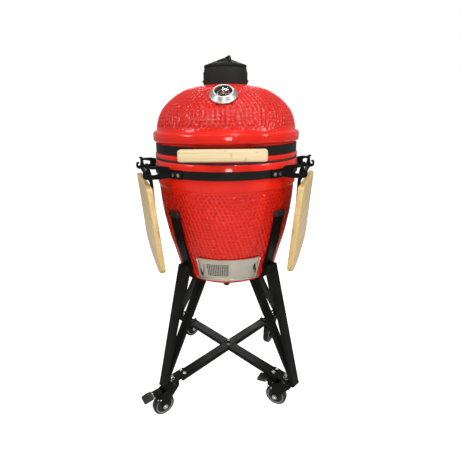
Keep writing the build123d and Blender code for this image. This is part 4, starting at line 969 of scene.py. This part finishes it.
dress("charcoal_grate", IRON, 1.0, 2); dress("cooking_grate", GRATE, 0.8, 2)
dress("brace_bolts", m_metal("dull_zinc_bolt", (0.15, 0.15, 0.145), (0.42, 0.58), (1, 1, 1), 700.0), 0.7, 2)
# folded cover over each leg's gusset, following the bowl
for tag, deg_ in (("front_left", -135.0), ("front_right", -45.0), ("rear_right", 45.0), ("rear_left", 135.0)):
    t = math.radians(deg_)
    d_ = Vector((math.cos(t), math.sin(t), 0))
    ol = [(184.4, -390.5), (203.0, -390.5), (206.6, -413.5), (146.0, -465.0), (124.0, -463.0), (119.5, -457.5), (141.0, -456.3), (155.0, -453.6), (167.4, -445.0), (173.8, -433.0), (177.4, -420.5)]
    v, f = prism([(x_, Z(z_)) for x_, z_ in ol], (0, 0, 0), d_, (0, 0, 1), 31.0, 1.2, 3)
    new_obj(f"leg_gusset_cover_{tag}", v, f, BLACK, "stand_and_base", 40, None)
# ------------------------------------------------------------------ caster wheels
C = {"fl": (-202.5, -202.5, -146.5), "fr": (202.5, -202.5, 152.0), "rr": (202.5, 202.5, -120.0), "rl": (-202.5, 202.5, 40.0)}
for k, (cx, cy, t) in C.items():
    a = math.radians(t)
    fdir = Vector((math.cos(a), math.sin(a), 0)); ldir = Vector((-math.sin(a), math.cos(a), 0))
    o = Vector((cx, cy, 37.5)) + fdir * 36.0
    tyre = [(26, -9.0), (28.5, -10.5), (32.0, -11.6), (34.5, -11.4), (36.4, -9.6), (37.2, -6.5), (37.5, -2.5), (37.5, 2.5), (37.2, 6.5), (36.4, 9.6), (34.5, 11.4), (32.0, 11.6), (28.5, 10.5), (26, 9.0)]
    v, f = lathe(tyre, o, ldir, 96)
    new_obj(f"wheel_tyre_{k}", v, f, TYRE, f"wheel_{k}", 45, [f"caster_wheel_{k}"])
    hub = [(4.05, -14.0), (10.5, -14.0), (11.8, -13.4), (12.6, -11.0), (13.4, -9.0), (15.0, -8.2), (26.0, -8.2), (26.2, 0), (26.0, 8.2), (15.0, 8.2), (13.4, 9.0), (12.6, 11.0), (11.8, 13.4), (10.5, 14.0), (4.05, 14.0)]
    v, f = lathe(hub, o, ldir, 72)
    new_obj(f"wheel_hub_{k}", v, f, TYRE, f"wheel_{k}", 35, None)
    rings = []
    for s_ in (-1, 1):
        rp = [(27.0, s_ * 9.6), (29.6, s_ * 10.9), (29.9, s_ * 11.7), (28.6, s_ * 12.1), (27.0, s_ * 11.2)]
        rings.append(lathe(rp, o, ldir, 96))
    v, f = merge(*rings)
    new_obj(f"wheel_ring_{k}", v, f, HUB, f"wheel_{k}", 35, None)
    # fork: crown with a raised swivel race, and two stamped cheeks
    brake = k in ("fl", "fr")
    so = Vector((cx, cy, 0))
    up = Vector((0, 0, 1))
    parts = []
    cheek = [(-20, -806.6), (14, -806.6), (27, -818), (46, -829), (60, -834), (66, -842), (60, -851), (50, -858), (48.5, -878), (45, -890), (36, -894.5), (27, -891), (22, -880), (4, -848), (-16, -826), (-22, -815)]
    if not brake:
        cheek = [(-20, -806.6), (14, -806.6), (27, -818), (44, -838), (50, -858), (48.5, -878), (45, -890), (36, -894.5), (27, -891), (22, -880), (4, -848), (-16, -826), (-22, -815)]
    ol = rounded([(x_, Z(z_)) for x_, z_ in cheek], 5.0, 5)
    for s_ in (-1, 1):
        # ux = trail, uy = up, so the extrusion runs along trail x up
        ez = fdir.cross(up)
        w_ = s_ * 18.2
        parts.append(prism(ol, so + ez * w_, fdir, up, 2.4, 0.7, 2))
    crown_ = rounded([(-21, -19), (18, -19), (24, -12), (24, 12), (18, 19), (-21, 19), (-25, 12), (-25, -12)], 5.0, 4)
    parts.append(prism(crown_, so + up * Z(-808.0), fdir, up.cross(fdir), 3.4, 1.0, 3))
    race = [(6.0, Z(-806.5)), (23.0, Z(-806.5)), (24.0, Z(-807.4)), (24.6, Z(-809.5)), (23.5, Z(-811.8)), (20.5, Z(-813.0)), (6.0, Z(-813.0))]
    parts.append(lathe(race, so, up, 64))
    v, f = merge(*parts)
    new_obj(f"fork_{k}", v, f, BLACK, f"caster_{k}", 40, [f"caster_fork_{k}"])
    # axle bolt: domed flange head and nut, and two rivets on each cheek (one on the casters without a brake)
    bolts = []
    ez = fdir.cross(up)
    for s_ in (-1, 1):
        head = [(0, 19.4), (8.2, 19.4), (8.6, 19.9), (8.4, 20.6), (7.2, 21.2), (6.4, 21.4), (6.2, 23.6), (5.6, 24.3), (3.0, 24.7), (2.6, 24.0), (0, 23.9)]
        bolts.append(lathe([(r_, h_) for r_, h_ in head], o, ez * s_, 6 * 8))
        for rx, rz in ((50.0, -847.0), (59.5, -841.5)) if brake else ((40.0, -846.0),):
            p_ = so + fdir * rx + up * Z(rz)
            bolts.append(lathe([(0, 19.2), (3.0, 19.2), (3.1, 19.8), (2.6, 20.8), (1.5, 21.4), (0, 21.6)], p_, ez * s_, 24))
    bolts.append(lathe([(0, -19.4), (3.95, -19.4), (3.95, 19.4), (0, 19.4)], o, ez, 32))
    v, f = merge(*bolts)
    new_obj(f"axle_bolt_{k}", v, f, BOLT, f"caster_{k}", 35, None)
    if brake:
        # pedal: stamped arm from under the crown, bright edge strip, moulded grip
        arm = rounded([(40, -823.4), (60, -824.8), (72, -826.8), (72, -829.4), (60, -829.0), (40, -826.6)], 0.8, 2)
        v, f = prism([(x_, Z(z_)) for x_, z_ in arm], so, fdir, up, 30.0, 0.8, 2)
        v2, f2 = prism([(x_, Z(z_)) for x_, z_ in rounded([(52, -828), (66, -830), (66, -838), (60, -843), (52, -841)], 2.0, 3)], so, fdir, up, 31.0, 0.8, 2)
        v, f = merge((v, f), (v2, f2))
        new_obj(f"pedal_arm_{k}", v, f, BLACK, f"pedal_{k}", 35, [f"brake_pedal_{k}"])
        grip = rounded([(72.5, -823.0), (88, -822.4), (103, -826.5), (107.5, -832.0), (104, -838.5), (90, -837.0), (72.5, -834.0)], 4.0, 5)
        v, f = prism([(x_, Z(z_)) for x_, z_ in grip], so, fdir, up, 35.0, 4.5, 5)
        new_obj(f"pedal_grip_{k}", v, f, PEDAL, f"pedal_{k}", 45, None)
        strip_ = rounded([(70.2, -823.6), (73.2, -824.0), (73.2, -833.0), (70.2, -832.4)], 0.6, 2)
        v, f = prism([(x_, Z(z_)) for x_, z_ in strip_], so, fdir, up, 33.0, 0.5, 2)
        new_obj(f"pedal_edge_{k}", v, f, BOLT, f"pedal_{k}", 35, None)

# ------------------------------------------------------------------ studio
floor_me = bpy.data.meshes.new("studio_floor")
s = 12.0
floor_me.from_pydata([(-s, -s, 0), (s, -s, 0), (s, s, 0), (-s, s, 0)], [], [(0, 1, 2, 3)])
floor = bpy.data.objects.new("studio_floor", floor_me)
bpy.context.scene.collection.objects.link(floor)
mf, nt, b = mat_new("pale_floor")
vv = coords(nt)
nt.links.new(mix(nt, remap(nt, noise(nt, vv, 2.0), 0.3, 0.7, 0, 1), (0.62, 0.62, 0.62), (0.60, 0.60, 0.60)), b.inputs["Base Color"])
b.inputs["Roughness"].default_value = 0.9
b.inputs["Specular IOR Level"].default_value = 0.0
lp = nt.nodes.new("ShaderNodeLightPath")
b.inputs["Emission Color"].default_value = (1, 1, 1, 1)
nt.links.new(remap(nt, lp.outputs["Is Camera Ray"], 0.0, 1.0, 0.0, 0.80), b.inputs["Emission Strength"])
floor_me.materials.append(mf)

world = bpy.data.worlds.new("studio"); bpy.context.scene.world = world
world.use_nodes = True
wn = world.node_tree
bg = wn.nodes["Background"]
bg.inputs["Color"].default_value = (1.0, 1.0, 1.0, 1)
lp = wn.nodes.new("ShaderNodeLightPath")
mr = wn.nodes.new("ShaderNodeMapRange")
mr.inputs["To Min"].default_value = 0.34
mr.inputs["To Max"].default_value = 1.0
wn.links.new(lp.outputs["Is Camera Ray"], mr.inputs["Value"])
wn.links.new(mr.outputs["Result"], bg.inputs["Strength"])


def area(name, loc, target, size, power, size_y=None):
    l = bpy.data.lights.new(name, "AREA")
    l.shape = "RECTANGLE"; l.size = size; l.size_y = size_y or size; l.energy = power
    o = bpy.data.objects.new(name, l)
    bpy.context.scene.collection.objects.link(o)
    o.location = loc
    o.rotation_mode = "QUATERNION"
    o.rotation_quaternion = (Vector(target) - Vector(loc)).to_track_quat("-Z", "Y")
    return o


area("back_fill", (0.0, 3.2, 2.0), (0, 0, 0.7), 1.4, 34, 1.0)
area("key_top", (0.5, -1.3, 3.0), (0, 0, 0.8), 0.5, 30, 0.4)
area("front_low", (0.2, -3.4, 0.9), (0, 0, 0.55), 0.5, 16, 0.5)
area("side_left", (-2.4, -1.5, 1.9), (0, 0, 0.8), 0.35, 22, 1.0)
area("side_right", (2.4, -1.4, 1.8), (0, 0, 0.8), 0.35, 22, 1.0)
for i, (lx_, ly_, lz_) in enumerate(((-1.3, -1.9, 3.1), (1.4, -2.2, 3.1), (-0.4, -2.7, 2.9), (0.0, 0.6, 3.1), (-2.2, -0.4, 2.9), (2.2, -0.3, 2.9), (0.9, -3.2, 2.1))):
    area(f"ceiling_{i}", (lx_, ly_, lz_), (0, 0, 0.7), 0.2, 7.5, 0.2)

cam_d = bpy.data.cameras.new("photo_camera")
cam = bpy.data.objects.new("photo_camera", cam_d)
bpy.context.scene.collection.objects.link(cam)
cam_d.sensor_width = 36.0; cam_d.sensor_fit = "HORIZONTAL"
cam_d.lens = 339.74 / 460 * 36.0
cam_d.shift_x = (230 - 227.25) / 460
cam_d.shift_y = (230.03 - 230) / 460
cam_d.clip_start = 0.05; cam_d.clip_end = 60
R = Matrix.Rotation(math.radians(90 - 18.77), 4, "X") @ Matrix.Rotation(-0.0119, 4, "Z")
cam.matrix_world = Matrix.Translation((0, -1.1613, 0.9977)) @ R
bpy.context.scene.camera = cam
bpy.context.scene.view_settings.view_transform = "Standard"
bpy.context.scene.view_settings.look = "None"
